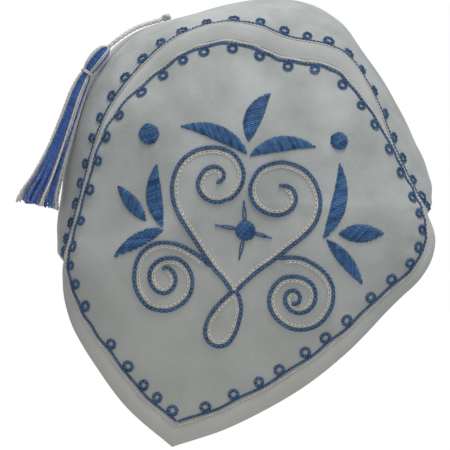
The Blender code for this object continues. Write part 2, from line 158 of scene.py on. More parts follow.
def unit(vectors):
    return vectors / np.maximum(np.linalg.norm(vectors, axis=-1, keepdims=True), 1e-12)


def smooth_rows(rows, station):
    """Places between the rows of a table, on a curve that passes through each row."""
    station = np.atleast_1d(np.asarray(station, float))
    first = np.clip(station.astype(int), 0, len(rows) - 2)
    f = (station - first)[:, None]
    more = np.vstack([2 * rows[0] - rows[1], rows, 2 * rows[-1] - rows[-2]])
    a, b, c, d = (more[first + i] for i in range(4))
    return 0.5 * (
        2 * b + (c - a) * f + (2 * a - 5 * b + 4 * c - d) * f**2
        + (3 * b - a - 3 * c + d) * f**3
    )


def panel_at(station, share):
    """Middle of the panel's wall: share 0 at its roundest point, 1 at its edge."""
    station, share = np.broadcast_arrays(np.atleast_1d(station), share)
    edge = smooth_rows(edge_rows, station)
    outward = np.column_stack([edge[:, 0] - bulge[0], edge[:, 2] - bulge[2]])
    reach = np.linalg.norm(outward, axis=1)
    outward = outward / reach[:, None]
    handle, turn = EDGE_HANDLE * reach, edge[:, 3]
    w = [(1 - share) ** 3, 3 * share * (1 - share) ** 2, 3 * share**2 * (1 - share), share**3]
    out = w[1] * BULGE_HANDLE * reach + w[2] * (reach - handle * np.cos(turn)) + w[3] * reach
    depth = (w[0] + w[1]) * HALF_BREADTH + w[2] * (edge[:, 1] + handle * np.sin(turn))
    depth = depth + w[3] * edge[:, 1]
    x, z = bulge[0] + outward[:, 0] * out, bulge[2] + outward[:, 1] * out
    for along, up, wide, sunk in PANEL_DENTS:
        aside = np.hypot(x - along * HALF_LENGTH, z - up * CROWN_HEIGHT)
        depth = depth - sunk * HALF_BREADTH * np.exp(-((aside / (wide * HALF_LENGTH)) ** 2))
    return np.column_stack([x, depth, z])


def panel_normal(station, share):
    """Unit normal of the panel's wall, out of the cap."""
    station, share = np.broadcast_arrays(np.atleast_1d(station), share)
    low, high = np.maximum(station - 0.02, 0), np.minimum(station + 0.02, TIP)
    round_edge = panel_at(high, share) - panel_at(low, share)
    outward = panel_at(station, share) - panel_at(station, share - 0.01)
    return unit(np.cross(outward, round_edge))


def share_from_edge(station, distance):
    """Share at which a spoke of the panel is this far from its edge."""
    station, distance = np.broadcast_arrays(np.atleast_1d(station), distance)
    shares = np.linspace(1.0, 0.4, 97)
    places = panel_at(np.repeat(station, 97), np.tile(shares, len(station)))
    places = places.reshape(len(station), 97, 3)
    steps = np.linalg.norm(np.diff(places, axis=1), axis=2)
    walked = np.hstack([np.zeros((len(station), 1)), np.cumsum(steps, axis=1)])
    return np.array([np.interp(d, w, shares) for d, w in zip(distance, walked)])


print("roundest point at", np.round(panel_at(0.0, 0.0)[0] * 1000, 1), "mm")

# %% [markdown]
# ## The seam line
#
# Panel, strip and binding meet along one line, so its places are worked out once and
# kept. At each station the binding has an outer and an inner edge, a direction across
# and a normal. The strip hangs from a hinge just inside the binding's outer edge.

# %% The seam at many stations


def seam_line(station):
    low, high = np.maximum(station - 0.02, 0), np.minimum(station + 0.02, TIP)
    along_edge = unit(panel_at(high, 1.0) - panel_at(low, 1.0))
    spoke = unit(panel_at(station, 1.0) - panel_at(station, 0.96))
    slant = np.linalg.norm(np.cross(along_edge, spoke), axis=1)
    width = BINDING_WIDTH * smooth_rows(edge_rows, station)[:, 4] / slant
    outer = panel_at(station, 1.0)
    inner = panel_at(station, share_from_edge(station, width))
    across = unit(outer - inner)
    normal = panel_normal(station, 0.97)
    near_tip = np.clip(1 - np.minimum(station, TIP - station) / 0.35, 0, 1)[:, None]
    tip_normal = unit(np.cross(np.array((1.0, 0, 0)), across))
    normal = normal * (1 - near_tip) + tip_normal * near_tip
    normal = unit(normal - across * np.sum(normal * across, axis=1, keepdims=True))
    hinge = outer - across * (BINDING_THICKNESS / 2 / slant)[:, None]
    return {
        "slant": slant, "outer": outer, "inner": inner, "across": across,
        "normal": normal, "hinge": hinge, "width": width,
    }


def strip_at(station, across):
    """Middle of the strip's wall: across -1 at the right seam, 1 at the left."""
    station, across = np.broadcast_arrays(np.atleast_1d(station), across)
    hinge = seam_line(station)["hinge"]
    top = smooth_rows(crest_rows, station - FIRST_SEWN)
    bow = np.abs(across) ** STRIP_BOW
    return np.column_stack([
        top[:, 0] + (hinge[:, 0] - top[:, 0]) * bow,
        across * hinge[:, 1],
        top[:, 2] + (hinge[:, 2] - top[:, 2]) * bow,
    ])


def strip_normal(station, across):
    station, across = np.broadcast_arrays(np.atleast_1d(station), across)
    low = np.maximum(station - 0.02, FIRST_SEWN)
    high = np.minimum(station + 0.02, LAST_SEWN)
    along = strip_at(high, across) - strip_at(low, across)
    aside = strip_at(station, across + 0.02) - strip_at(station, across - 0.02)
    return unit(np.cross(along, aside))


def strip_face(station, across):
    """A place on the strip's outer face, and the normal there."""
    normal = strip_normal(station, across)
    return strip_at(station, across) + normal * FELT / 2, normal


crown_top = strip_face(14.0, 0.0)[0][0]
print("crown top", np.round(crown_top * 1000, 1), "mm")

# %% [markdown]
# ## Colours and node helpers
#
# Cloth colours are easier to name as the hex codes of a swatch. Blender works in linear
# light, so one function converts them. One more adds a shader node with its settings and
# its wires, which keeps each material short enough to read. A mix node takes its factor at
# input 0 and its two colours at inputs 6 and 7.

# %% Helpers for every material


def swatch(code):
    """A hex colour as linear red, green, blue and alpha."""
    parts = [int(code[i:i + 2], 16) / 255 for i in (1, 3, 5)]
    return (*[p / 12.92 if p <= 0.04045 else ((p + 0.055) / 1.055) ** 2.4 for p in parts], 1)


def add_node(finish, kind, wires=(), **settings):
    """Adds a node: settings by name, inputs by name from a value or a socket."""
    tree = finish.node_tree
    node = tree.nodes.new("ShaderNode" + kind)
    for name, value in settings.items():
        setattr(node, name, value)
    for name, source in dict(wires).items():
        if isinstance(source, bpy.types.NodeSocket):
            tree.links.new(source, node.inputs[name])
        else:
            node.inputs[name].default_value = source
    return node


def new_finish(name, roughness, sheen):
    finish = bpy.data.materials.new(name)
    finish.use_nodes = True
    shader = finish.node_tree.nodes["Principled BSDF"]
    shader.inputs["Roughness"].default_value = roughness
    shader.inputs["Sheen Weight"].default_value = sheen
    shader.inputs["Sheen Roughness"].default_value = 0.5
    shader.inputs["Specular IOR Level"].default_value = 0.25
    return finish, shader


# %% [markdown]
# ## Felt
#
# Felt is wool worked wet until its fibres lock, so it has no weave. Close to, it is a
# fine nap with small pills; further off it is cloudy, where the wool is thicker or a
# little worn. Three sizes of noise give those three things: a nap 0.4 mm across, pills of
# 2.4 mm and clouds of 24 mm. The nap and the pills go to the bump, the clouds to the
# colour, and a soft sheen stands for the loose fibre ends.

# %% Brushed felt and the smoother binding felt
# Noise scales in patches per metre: 24 mm, 2.4 mm and 0.4 mm across
CLOUDS, PILLS, NAP = 42.0, 420.0, 2600.0


def felt_finish(name, pale, grey, bottom_shade, nap_depth):
    finish, shader = new_finish(name, 0.95, 0.25)
    place = add_node(finish, "TexCoord").outputs["Object"]
    clouds = add_node(finish, "TexNoise", {"Vector": place, "Scale": CLOUDS, "Detail": 4.0})
    spread = add_node(finish, "MapRange", {
        "Value": clouds.outputs["Fac"], "From Min": 0.34, "From Max": 0.66,
    })
    pills = add_node(finish, "TexNoise", {"Vector": place, "Scale": PILLS, "Detail": 5.0})
    nap = add_node(finish, "TexNoise", {
        "Vector": place, "Scale": NAP, "Detail": 3.0, "Roughness": 0.7,
    })
    # Painted shade: lower on the cap the felt is mixed towards a darker, warmer colour, as if
    # lit from above
    up = add_node(finish, "SeparateXYZ", {"Vector": place}).outputs["Z"]
    low = add_node(finish, "MapRange", {
        "Value": up, "From Min": 0.03, "From Max": -0.12, "To Max": 0.75,
    })
    wool = add_node(finish, "Mix", {
        0: spread.outputs["Result"], 6: swatch(pale), 7: swatch(grey)}, data_type="RGBA")
    wool = add_node(finish, "Mix", {
        0: low.outputs["Result"], 6: wool.outputs[2], 7: swatch(bottom_shade)}, data_type="RGBA")
    fleck = add_node(finish, "MapRange", {
        "Value": nap.outputs["Fac"], "From Min": 0.3, "From Max": 0.7,
        "To Min": 0.0, "To Max": 0.22,
    })
    wool = add_node(finish, "Mix", {
        0: fleck.outputs["Result"], 6: wool.outputs[2], 7: swatch(grey)}, data_type="RGBA")
    tree = finish.node_tree
    tree.links.new(wool.outputs[2], shader.inputs["Base Color"])
    soft = add_node(finish, "Bump", {
        "Height": pills.outputs["Fac"], "Strength": 0.5, "Distance": nap_depth * 2,
    })
    fine = add_node(finish, "Bump", {
        "Height": nap.outputs["Fac"], "Strength": 0.6, "Distance": nap_depth,
        "Normal": soft.outputs["Normal"],
    })
    tree.links.new(fine.outputs["Normal"], shader.inputs["Normal"])
    return finish


# The fourth colour of each felt is the painted shade lower on the cap
brushed_felt = felt_finish("brushed_felt", "#BFC3C2", "#A6ABA8", "#BABAB0", 0.00022)
binding_felt = felt_finish("binding_felt", "#C4C7C4", "#B2B5B2", "#C7C6BC", 0.00012)
print("felt:", brushed_felt.name, binding_felt.name)

# %% [markdown]
# ## Thread and yarn
#
# Every thread here is two or more plies twisted together. Each tube of thread carries a
# flat map: one way round it, one way along it in millimetres. A slanted wave on that map
# is the twist; it gives the bump, and it paints shade into the grooves between the plies.
# A slow noise along it is the uneven dye, in patches of 4 mm. Floss turns once in about
# 2 mm and yarn in about 3 mm. Cotton floss has a little shine; tassel yarn has less.

# %% Floss and yarn from one recipe
DYE = 260.0


def thread_finish(name, light, dark, roughness, twist, depth):
    """Twisted thread: twist is the plies' slant in turns per millimetre."""
    finish, shader = new_finish(name, roughness, 0.3)
    flat = add_node(finish, "UVMap").outputs["UV"]
    parts = add_node(finish, "SeparateXYZ", {"Vector": flat})
    along = add_node(finish, "Math", {0: parts.outputs["Y"], 1: twist}, operation="MULTIPLY")
    around = add_node(finish, "Math", {0: parts.outputs["X"], 1: 2.0}, operation="MULTIPLY")
    lean = add_node(finish, "Math", {0: along.outputs[0], 1: around.outputs[0]}, operation="ADD")
    turn = add_node(finish, "Math", {0: lean.outputs[0], 1: 6.28319}, operation="MULTIPLY")
    ply = add_node(finish, "Math", {0: turn.outputs[0]}, operation="SINE")
    high = add_node(finish, "MapRange", {"Value": ply.outputs[0], "From Min": -1.0})
    place = add_node(finish, "TexCoord").outputs["Object"]
    dye = add_node(finish, "TexNoise", {"Vector": place, "Scale": DYE, "Detail": 3.0})
    strand = add_node(finish, "Math", {0: parts.outputs["X"]}, operation="FLOOR")
    lot = add_node(finish, "TexWhiteNoise", {"W": strand.outputs[0]}, noise_dimensions="1D")
    both = add_node(finish, "Math", {
        0: lot.outputs["Value"], 1: 0.35, 2: dye.outputs["Fac"]}, operation="MULTIPLY_ADD")
    uneven = add_node(finish, "MapRange", {
        "Value": both.outputs[0], "From Min": 0.4, "From Max": 0.95,
    })
    colour = add_node(finish, "Mix", {
        0: uneven.outputs["Result"], 6: swatch(light), 7: swatch(dark)}, data_type="RGBA")
    # Painted shade: the grooves between the plies are mixed towards the dark colour
    shade = add_node(finish, "MapRange", {
        "Value": high.outputs["Result"], "To Min": 0.45, "To Max": 0.0,
    })
    colour = add_node(finish, "Mix", {
        0: shade.outputs["Result"], 6: colour.outputs[2], 7: swatch(dark)}, data_type="RGBA")
    bump = add_node(finish, "Bump", {
        "Height": high.outputs["Result"], "Strength": 0.8, "Distance": depth,
    })
    tree = finish.node_tree
    tree.links.new(colour.outputs[2], shader.inputs["Base Color"])
    tree.links.new(bump.outputs["Normal"], shader.inputs["Normal"])
    return finish


blue_floss = thread_finish("blue_cotton_floss", "#4F84B8", "#183F6C", 0.5, 0.55, 0.00018)
white_floss = thread_finish("white_cotton_floss", "#FFFCF4", "#D8D2C4", 0.6, 0.55, 0.00012)
blue_yarn = thread_finish("blue_tassel_yarn", "#5583CC", "#2C4F9C", 0.65, 0.30, 0.00020)
white_yarn = thread_finish("white_tassel_yarn", "#EDECE6", "#C6C4BC", 0.7, 0.30, 0.00020)
print("threads:", blue_floss.name, white_floss.name, blue_yarn.name, white_yarn.name)

# %% [markdown]
# ## Making pieces
#
# A piece is one object with one finish. It can be made of thousands of short threads, so
# the points of all of them are built as arrays and joined before the object is made.
# That is far quicker than one object for each stitch, and the result is one plain mesh.

# %% One function makes every piece and parents it to the cap


def make_piece(name, parts, finish, nodes=(), angle=60):
    """parts are (points, faces, map); the piece rides on the cap."""
    points, faces, flat, start = [], [], [], 0
    for p, f, m in parts:
        points.append(p)
        faces.append(f + start)
        flat.append(m)
        start += len(p)
    points, faces, flat = np.vstack(points), np.vstack(faces), np.vstack(flat)
    mesh = bpy.data.meshes.new(name)
    mesh.from_pydata(points.tolist(), [], faces.tolist())
    layer = mesh.uv_layers.new(name="flat_map")
    layer.data.foreach_set("uv", flat.astype(np.float32).ravel())
    mesh.shade_smooth()
    mesh.set_sharp_from_angle(angle=math.radians(angle))
    mesh.materials.append(finish)
    piece = bpy.data.objects.new(name, mesh)
    bpy.context.scene.collection.objects.link(piece)
    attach(piece, "root")
    if nodes:
        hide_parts(*nodes)
    print(f"{name}: {len(faces)} faces")
    return piece


def grid_faces(rows, columns, closed_rows=False, closed_columns=False):
    """Quads of a grid of points, and each corner's (row, column) for the flat map."""
    r = np.arange(rows if closed_rows else rows - 1)
    c = np.arange(columns if closed_columns else columns - 1)
    r, c = (a.ravel() for a in np.meshgrid(r, c, indexing="ij"))
    rows_of = np.stack([r, r, r + 1, r + 1], axis=1)
    columns_of = np.stack([c, c + 1, c + 1, c], axis=1)
    faces = (rows_of % rows) * columns + columns_of % columns
    return faces, rows_of, columns_of


def mirrored(part):
    """The same part on the wearer's left."""
    points, faces, flat = part
    turned = flat.reshape(-1, 4, 2)[:, ::-1].reshape(-1, 2)
    return points * (1, -1, 1), faces[:, ::-1], turned


def sides_of(part):
    """A part made with positive depth, for the right and for the left of the cap."""
    return {"right": mirrored(part), "left": part}


# %% [markdown]
# ## The side panels
#
# Felt this thick bends in broad curves, so the panel is a dense net of rings round its
# roundest point, with an outer and an inner face and a cut edge between. Hand sewing
# draws the felt in a little, which shows as slow waves over the panel and short puckers
# beside the seam. They are a fraction of a millimetre deep, and they catch the light.

# %% Slow waves and puckers in the felt


def felt_relief(place, station, from_edge):
    """How far the felt's face stands out, in metres."""
    x, z = place[:, 0] / MM, place[:, 2] / MM
    slow = 0.30 * np.sin(x / 9.7 + 0.6 * np.sin(z / 13.0)) * np.sin(z / 11.3 + 1.1)
    slow += 0.16 * np.sin(x / 4.9 + z / 7.7 + 2.0)
    near = np.exp(-(((from_edge / MM - 14.5) / 5.0) ** 2))
    pucker = near * (0.34 * np.sin(station * 8.4 + 0.9 * np.sin(station * 2.3)))
    return (slow * np.clip((from_edge / MM - 10) / 8, 0, 1) + pucker) * MM


def spread_stations(first, last, count):
    """Stations at even distances along the panel's edge."""
    fine = np.linspace(first, last, 1200)
    run = np.linalg.norm(np.diff(panel_at(fine, 1.0), axis=0), axis=1)
    walked = np.concatenate([[0], np.cumsum(run)])
    return np.interp(np.linspace(0, walked[-1], count), walked, fine), walked[-1]


round_panel, edge_length = spread_stations(0, TIP, 321)
round_panel = round_panel[:-1]
seams = seam_line(round_panel)
print("panel edge is", round(edge_length * 1000), "mm round")

# %% The panels' felt
RINGS = 40
tuck = 0.0022
rim = share_from_edge(round_panel, seams["width"] - tuck / seams["slant"])
ring_share = np.linspace(0.012, 1, RINGS)
station_net = np.tile(round_panel, RINGS)
share_net = np.outer(ring_share, rim).ravel()
middle = panel_at(station_net, share_net)
normal = panel_normal(station_net, share_net).reshape(RINGS, -1, 3)
normal[-1] = seams["normal"]
normal[-2] = unit(normal[-2] + seams["normal"])
normal[:, 0] = unit(normal[:, 1] + normal[:, -1])
normal = normal.reshape(-1, 3)
edge_at = panel_at(station_net, np.ones_like(share_net))
from_edge = np.linalg.norm(edge_at - middle, axis=1)
relief = felt_relief(middle, station_net, from_edge)
outer_face = middle + normal * (FELT / 2 + relief)[:, None]
inner_face = middle - normal * (FELT / 2 - relief * 0.6)[:, None]
count = len(round_panel)
panel_points = np.vstack([outer_face, inner_face])
net, _, _ = grid_faces(RINGS, count, closed_columns=True)
inner_net = net[:, ::-1] + RINGS * count
last = (RINGS - 1) * count + np.arange(count)
after = (RINGS - 1) * count + (np.arange(count) + 1) % count
rim_net = np.stack([after, last, last + RINGS * count, after + RINGS * count], axis=1)
hub = np.array([(i, i + 1, count - 2 - i, count - 1 - i) for i in range(count // 2 - 1)])
inner_hub = hub[:, ::-1] + RINGS * count
panel_net = np.vstack([net[:, ::-1], hub, inner_net[:, ::-1], inner_hub, rim_net])
panel_map = panel_points[panel_net.ravel()][:, [0, 2]] / MM
panel_part = (panel_points, panel_net, panel_map)
for hand, part in sides_of(panel_part).items():
    make_piece(f"{hand}_panel_felt", [part], brushed_felt,
               [f"{hand}_side_panel"])

# %% [markdown]
# ## The crown strip
#
# One strip of the same felt runs from the nape over the head to the forehead. It is
# bowed across, and its long edges disappear under the bindings. The crown is not crisp:
# the felt swells and dips a little where it is drawn over the seam.

# %% The strip's felt
LENGTHS, ACROSS = 170, 41
strip_stations = np.linspace(FIRST_SEWN, LAST_SEWN, LENGTHS)
reach = 0.985
# Columns stand closer together near the seams, where the strip bends most
crowding = math.pi / 2 * 0.86
across_row = np.sin(np.linspace(-1, 1, ACROSS) * crowding) / math.sin(crowding)
strip_s = np.repeat(strip_stations, ACROSS)
strip_a = np.tile(across_row * reach, LENGTHS)
strip_middle = strip_at(strip_s, strip_a)
strip_out = strip_normal(strip_s, strip_a)


def strip_relief(station, across):
    fade = np.clip((1 - np.abs(across)) * 5, 0, 1)
    wave = 0.30 * np.sin(station * 2.6 + 1.2 * across) + 0.2 * np.sin(station * 5.3 - 3 * across)
    pucker = 0.28 * np.exp(-(((np.abs(across) - 0.88) / 0.08) ** 2)) * np.sin(station * 11.0)
    return (wave * fade + pucker) * MM


strip_wave = strip_relief(strip_s, strip_a)[:, None]
strip_outer = strip_middle + strip_out * (FELT / 2 + strip_wave)
strip_inner = strip_middle - strip_out * (FELT / 2 - strip_wave * 0.6)
strip_points = np.vstack([strip_outer, strip_inner])
sheet, _, _ = grid_faces(LENGTHS, ACROSS)
size = LENGTHS * ACROSS
ring = np.concatenate([
    np.arange(ACROSS), np.arange(1, LENGTHS) * ACROSS + ACROSS - 1,
    (LENGTHS - 1) * ACROSS + np.arange(ACROSS - 2, -1, -1),
    np.arange(LENGTHS - 2, 0, -1) * ACROSS,
])
strip_rim = np.stack([ring, np.roll(ring, -1), np.roll(ring, -1) + size, ring + size], axis=1)
strip_net = np.vstack([sheet[:, ::-1], sheet + size, strip_rim])
strip_map = strip_points[strip_net.ravel()][:, [0, 2]] / MM
make_piece("crown_strip_felt", [(strip_points, strip_net, strip_map)], brushed_felt,
           ["crown_strip"])

# %% [markdown]
# ## The bindings
#
# The binding is a folded band with a soft filling, sewn down along both edges. Its face
# is nearly flat with rounded shoulders, and the stitches pull a faint groove beside each
# edge. Handwork shows as a slow change in how full it is. A loft of one section round
# the panel gives all of that, with the section changed a little from place to place.

# %% The padded band
turns = np.linspace(0, 2 * math.pi, 29)[:-1]
band_stations, _ = spread_stations(0, TIP, 521)
band_stations = band_stations[:-1]
band = seam_line(band_stations)
band_walk = np.arange(len(band_stations)) * edge_length / len(band_stations) / MM


def band_section(turn, walk):
    """Places across and off the band, in shares of its half width and half thickness."""
    flat, thick = 0.62, 0.80
    across = np.sign(np.cos(turn)) * np.abs(np.cos(turn)) ** flat
    off = np.sign(np.sin(turn)) * np.abs(np.sin(turn)) ** thick
    face = np.sin(turn) > 0
    full = 0.90 + 0.05 * np.sin(walk / 6.1) + 0.04 * np.sin(walk / 2.6 + 1.0)
    groove = 0.14 * np.exp(-(((across + 0.66) / 0.13) ** 2)) * face
    groove = groove + 0.10 * np.exp(-(((across - 0.70) / 0.12) ** 2)) * face
    crease = 0.07 * np.exp(-(((across - 0.12 - 0.2 * np.sin(walk / 17)) / 0.16) ** 2)) * face
    return across, off * full - groove - crease


walk_net, turn_net = (a.ravel() for a in np.meshgrid(band_walk, turns, indexing="ij"))
across_net, off_net = band_section(turn_net, walk_net)
each = np.repeat(np.arange(len(band_stations)), len(turns))
half_width = (band["width"] / 2)[each]
half_thick = BINDING_THICKNESS / 2
band_middle = ((band["outer"] + band["inner"]) / 2)[each]
band_points = (
    band_middle + band["across"][each] * (across_net * half_width)[:, None]
    + band["normal"][each] * (off_net * half_thick)[:, None]
)
band_net, rows_of, columns_of = grid_faces(len(band_stations), len(turns), True, True)
band_map = np.stack([columns_of.ravel() * 0.9, rows_of.ravel() * 1.5], axis=1)
band_part = (band_points, band_net, band_map)
for hand, part in sides_of(band_part).items():
    make_piece(f"{hand}_padded_binding", [part], binding_felt,
               [f"{hand}_binding"])

# %% [markdown]
# ## Laying thread on the cloth
#
# A stitch has to follow the felt, waves and all. Each place of the pattern is therefore
# dropped on to the finished felt from outside, and the felt's own normal is read there.
# A search tree of the mesh makes that quick. The normals are then smoothed along each
# line, so that a row of stitches does not rock over the facets.

# %% Dropping places on to the felt
panel_tree = BVHTree.FromPolygons(outer_face.tolist(), net.tolist())
strip_tree = BVHTree.FromPolygons(strip_outer.tolist(), sheet.tolist())


def drop_on(tree, places, ways):
    """Places and normals on the felt, from places near it and the normals there."""
    found, normals = [], []
    for place, way in zip(places, ways):
        way = Vector(way)
        hit, facing, _, _ = tree.ray_cast(Vector(place) + way * 0.012, -way, 0.03)
        if hit is None:
            hit, facing, _, _ = tree.find_nearest(Vector(place))
        if facing.dot(way) < 0:
            facing = -facing
        found.append(hit)
        normals.append(facing)
    return np.array(found), unit(np.array(normals))


def steady(normals, reach=3):
    """Averages each normal with those beside it."""
    padded = np.vstack([normals[:1]] * reach + [normals] + [normals[-1:]] * reach)
    return unit(sum(padded[i:i + len(normals)] for i in range(2 * reach + 1)))


def even_line(rows, step):
    """A smooth line through rows of places, cut into even steps."""
    rows = np.array(rows, float)
    fine = smooth_rows(rows, np.linspace(0, len(rows) - 1, 24 * len(rows)))
    run = np.concatenate([[0], np.cumsum(np.linalg.norm(np.diff(fine, axis=0), axis=1))])
    marks = np.linspace(0, run[-1], max(3, int(round(run[-1] / step)) + 1))
    return np.column_stack([np.interp(marks, run, fine[:, k]) for k in range(fine.shape[1])])


def on_panel(flat):
    """Places of the pattern, in millimetres of length and height, on the panel's felt."""
    flat = np.asarray(flat, float)
    places = np.column_stack([flat[:, 0] * MM, np.full(len(flat), 0.085), flat[:, 1] * MM])
    found = []
    for place in places:
        hit, facing, _, _ = panel_tree.ray_cast(Vector(place), Vector((0, -1, 0)), 0.09)
        if hit is None:
            hit, facing, _, _ = panel_tree.find_nearest(Vector(place))
        found.append((hit, facing if facing.y > 0 else -facing))
    return np.array([f[0] for f in found]), unit(np.array([f[1] for f in found]))


class Line:
    """A line of stitching on the felt: places, normals and the distance walked."""

    def __init__(self, places, normals):
        self.places, self.normals = places, steady(normals)
        steps = np.linalg.norm(np.diff(places, axis=0), axis=1)
        self.walked = np.concatenate([[0], np.cumsum(steps)])
        self.length = self.walked[-1]
        self.ways = unit(np.gradient(places, axis=0))

    def at(self, distance):
        """Place, normal and sideways direction at distances along the line."""
        parts = []
        for table in (self.places, self.normals, self.ways):
            parts.append(np.column_stack([
                np.interp(distance, self.walked, table[:, k]) for k in range(3)
            ]))
        place, normal, way = parts[0], unit(parts[1]), unit(parts[2])
        beyond = distance - np.clip(distance, 0, self.length)
        return place + way * beyond[:, None], normal, unit(np.cross(normal, way))


print("felt trees ready")

# %% [markdown]
# ## Chain stitch
#
# Chain stitch is a row of loops, each one starting inside the round end of the one
# before. A bump texture cannot give its gaps and its knotted edge, so every loop is a
# closed ring of thread in the shape of a drop. Its narrow end rises over the last loop's
# round end, as the real thread does.

# %% One loop, then a row of loops
CHAIN_POINTS = 12


def chain_row(line, width, thread, pitch, seed=0):
    """Loops of chain stitch along a line; sizes in metres."""
    count = max(1, int(round(line.length / pitch)))
    pitch = line.length / count
    long = pitch * 1.30
    rng = np.random.default_rng(seed)
    size = 1 + rng.uniform(-0.07, 0.07, count)
    turn = 2 * math.pi * np.arange(CHAIN_POINTS) / CHAIN_POINTS
    along = (1 - np.cos(turn)) / 2
    open_to = np.sin(turn) * (0.42 + 0.58 * along)
    open_to = open_to / open_to.max() * (width - thread) / 2
    radius = thread / 2
    lift = radius * (0.9 + 1.7 * np.exp(-(((along - 0.25) / 0.13) ** 2)))
    core = np.column_stack([along * long, open_to, lift])
    way = unit(np.roll(core, -1, axis=0) - np.roll(core, 1, axis=0))
    aside = unit(np.cross(way, (0.0, 0.0, 1.0)))
    above = np.cross(aside, way)
    ring = []
    for step in range(4):
        angle = math.pi / 4 + step * math.pi / 2
        ring.append(core + (aside * math.cos(angle) + above * math.sin(angle)) * radius)
    loop = np.stack(ring, axis=1).reshape(-1, 3)
    starts = np.arange(count) * pitch
    distance = (starts[:, None] + loop[None, :, 0]).ravel()
    place, normal, side = line.at(distance)
    wide = (loop[None, :, 1] * size[:, None]).ravel()[:, None]
    high = np.tile(loop[:, 2], count)[:, None]
    points = place + side * wide + normal * high
    faces, rows_of, columns_of = grid_faces(CHAIN_POINTS, 4, True, True)
    per = len(loop)
    all_faces = (faces[None] + np.arange(count)[:, None, None] * per).reshape(-1, 4)
    around = long * 2.4 / MM / CHAIN_POINTS
    flat = np.stack([columns_of.ravel() / 4, rows_of.ravel() * around], axis=1)
    return points, all_faces, np.tile(flat, (count, 1))


BLUE_CHAIN = dict(width=0.0022, thread=0.00078, pitch=0.00245)
WHITE_CHAIN = dict(width=0.0017, thread=0.00052, pitch=0.00235)
FINE_CHAIN = dict(width=0.0015, thread=0.00060, pitch=0.0023)
print("a blue loop is", BLUE_CHAIN["pitch"] / MM, "mm from the next")

# %% [markdown]
# ## The heart and its scrolls
#
# The ornament is one of the oldest: a heart whose lobes curl in as spirals, crossing
# below into a drop, with a scroll on each side. Each line is a table of places on the
# panel in millimetres, read off with the cap lying square to the eye. A white chain
# follows the inside of every blue one, a little more than two millimetres away.

# %% The heart, the drop and the scrolls
SCROLLS = {
    "heart_back": ((-20.7, 17.6), (-18.4, 19.6), (-17.6, 21.8), (-18.6, 24.3), (-21.3, 25.7),
        (-24.4, 25.6), (-28.4, 22.6), (-30.3, 16.3), (-28.3, 11.3), (-24.1, 8.3), (-18.1, 7.9),
        (-11.5, 11.6), (-8.0, 18.5), (-7.9, 25.1), (-11.0, 30.7), (-16.2, 34.7), (-22.7, 35.8),
        (-28.8, 34.8), (-35.1, 31.7), (-40.2, 26.3), (-42.6, 20.3), (-43.2, 13.5), (-42.1, 7.5),
        (-39.6, 1.8), (-35.7, -3.6), (-30.7, -8.8), (-24.8, -14.5), (-18.7, -20.6),
        (-12.1, -26.5), (-6.6, -30.4), (-2.9, -33.9), (-0.6, -35.6)),
    "heart_front": ((11.3, 23.3), (15.5, 23.9), (19.1, 22.5), (21.4, 18.3), (20.9, 14.3),
        (18.1, 10.2), (13.1, 7.9), (7.6, 7.9), (2.1, 10.1), (-1.5, 14.0), (-3.2, 19.1),
        (-2.6, 24.4), (-0.3, 29.6), (4.4, 33.3), (10.2, 35.6), (16.4, 35.6), (22.2, 34.2),
        (27.6, 30.7), (31.8, 25.3), (34.2, 19.6), (34.6, 13.4), (33.5, 7.7), (29.6, 0.6),
        (23.4, -7.0), (17.3, -14.6), (11.6, -20.7), (6.7, -26.9), (2.7, -32.7), (1.3, -35.2)),
    "drop": ((-0.6, -35.6), (-2.7, -38.2), (-7.1, -45.0), (-10.1, -53.1), (-9.9, -59.7),
        (-7.1, -63.8), (-2.1, -65.2), (2.8, -62.6), (5.4, -56.4), (6.1, -49.2), (5.7, -43.0),
        (3.4, -37.6), (1.3, -35.2)),
    "scroll_back": ((-38.4, -32.3), (-37.3, -30.7), (-34.6, -31.0), (-32.0, -33.1),
        (-30.5, -36.4), (-31.2, -40.7), (-34.4, -44.0), (-39.3, -43.7), (-43.5, -39.7),
        (-44.6, -33.8), (-41.8, -28.5), (-37.2, -25.7), (-31.1, -25.3), (-25.6, -28.4),
        (-21.9, -34.5), (-21.8, -41.8), (-24.7, -47.4), (-29.5, -51.6), (-34.8, -53.3),
        (-41.5, -52.8), (-47.4, -48.4), (-51.1, -42.6), (-52.6, -34.8), (-51.8, -27.8),
        (-47.6, -21.7), (-41.4, -18.4), (-33.5, -17.8), (-26.8, -19.3), (-20.4, -21.9),
        (-15.5, -24.8)),
    "scroll_front": ((30.5, -35.1), (32.8, -34.9), (34.4, -33.5), (34.4, -30.9), (32.6, -28.7),
        (29.7, -28.3), (27.1, -30.5), (27.0, -34.4), (30.4, -38.4), (35.3, -39.3), (39.6, -37.2),
        (42.2, -32.8), (41.9, -27.3), (38.8, -22.9), (33.6, -20.9), (27.4, -21.4), (22.5, -24.0),
        (19.5, -29.0), (18.7, -34.7), (20.6, -40.1), (24.7, -44.5), (30.8, -47.4), (37.2, -47.8),
        (43.8, -45.4), (48.4, -40.9), (51.2, -34.0), (51.3, -26.9), (49.2, -21.0), (44.3, -15.8),
        (38.1, -12.8), (31.4, -11.1), (25.3, -11.7), (20.1, -13.4)),
}
# Which side of the blue line the white one runs on, and how much of each end it leaves off
WHITE_SIDE = {
    "heart_back": (1, 3.0, -2.0), "heart_front": (-1, 4.0, -2.0), "drop": (1, 1.5, 1.5),
    "scroll_back": (-1, 3.0, 3.0), "scroll_front": (1, 3.0, 3.0),
}


def beside(line, gap):
    """A flat line kept at one distance to the left of another."""
    way = np.gradient(line, axis=0)
    way = unit(way)
    moved = line + np.column_stack([-way[:, 1], way[:, 0]]) * gap
    ahead = np.sum(np.diff(moved, axis=0) * way[:-1], axis=1)
    keep = np.concatenate([[True], ahead > 0.02])
    return moved[keep]


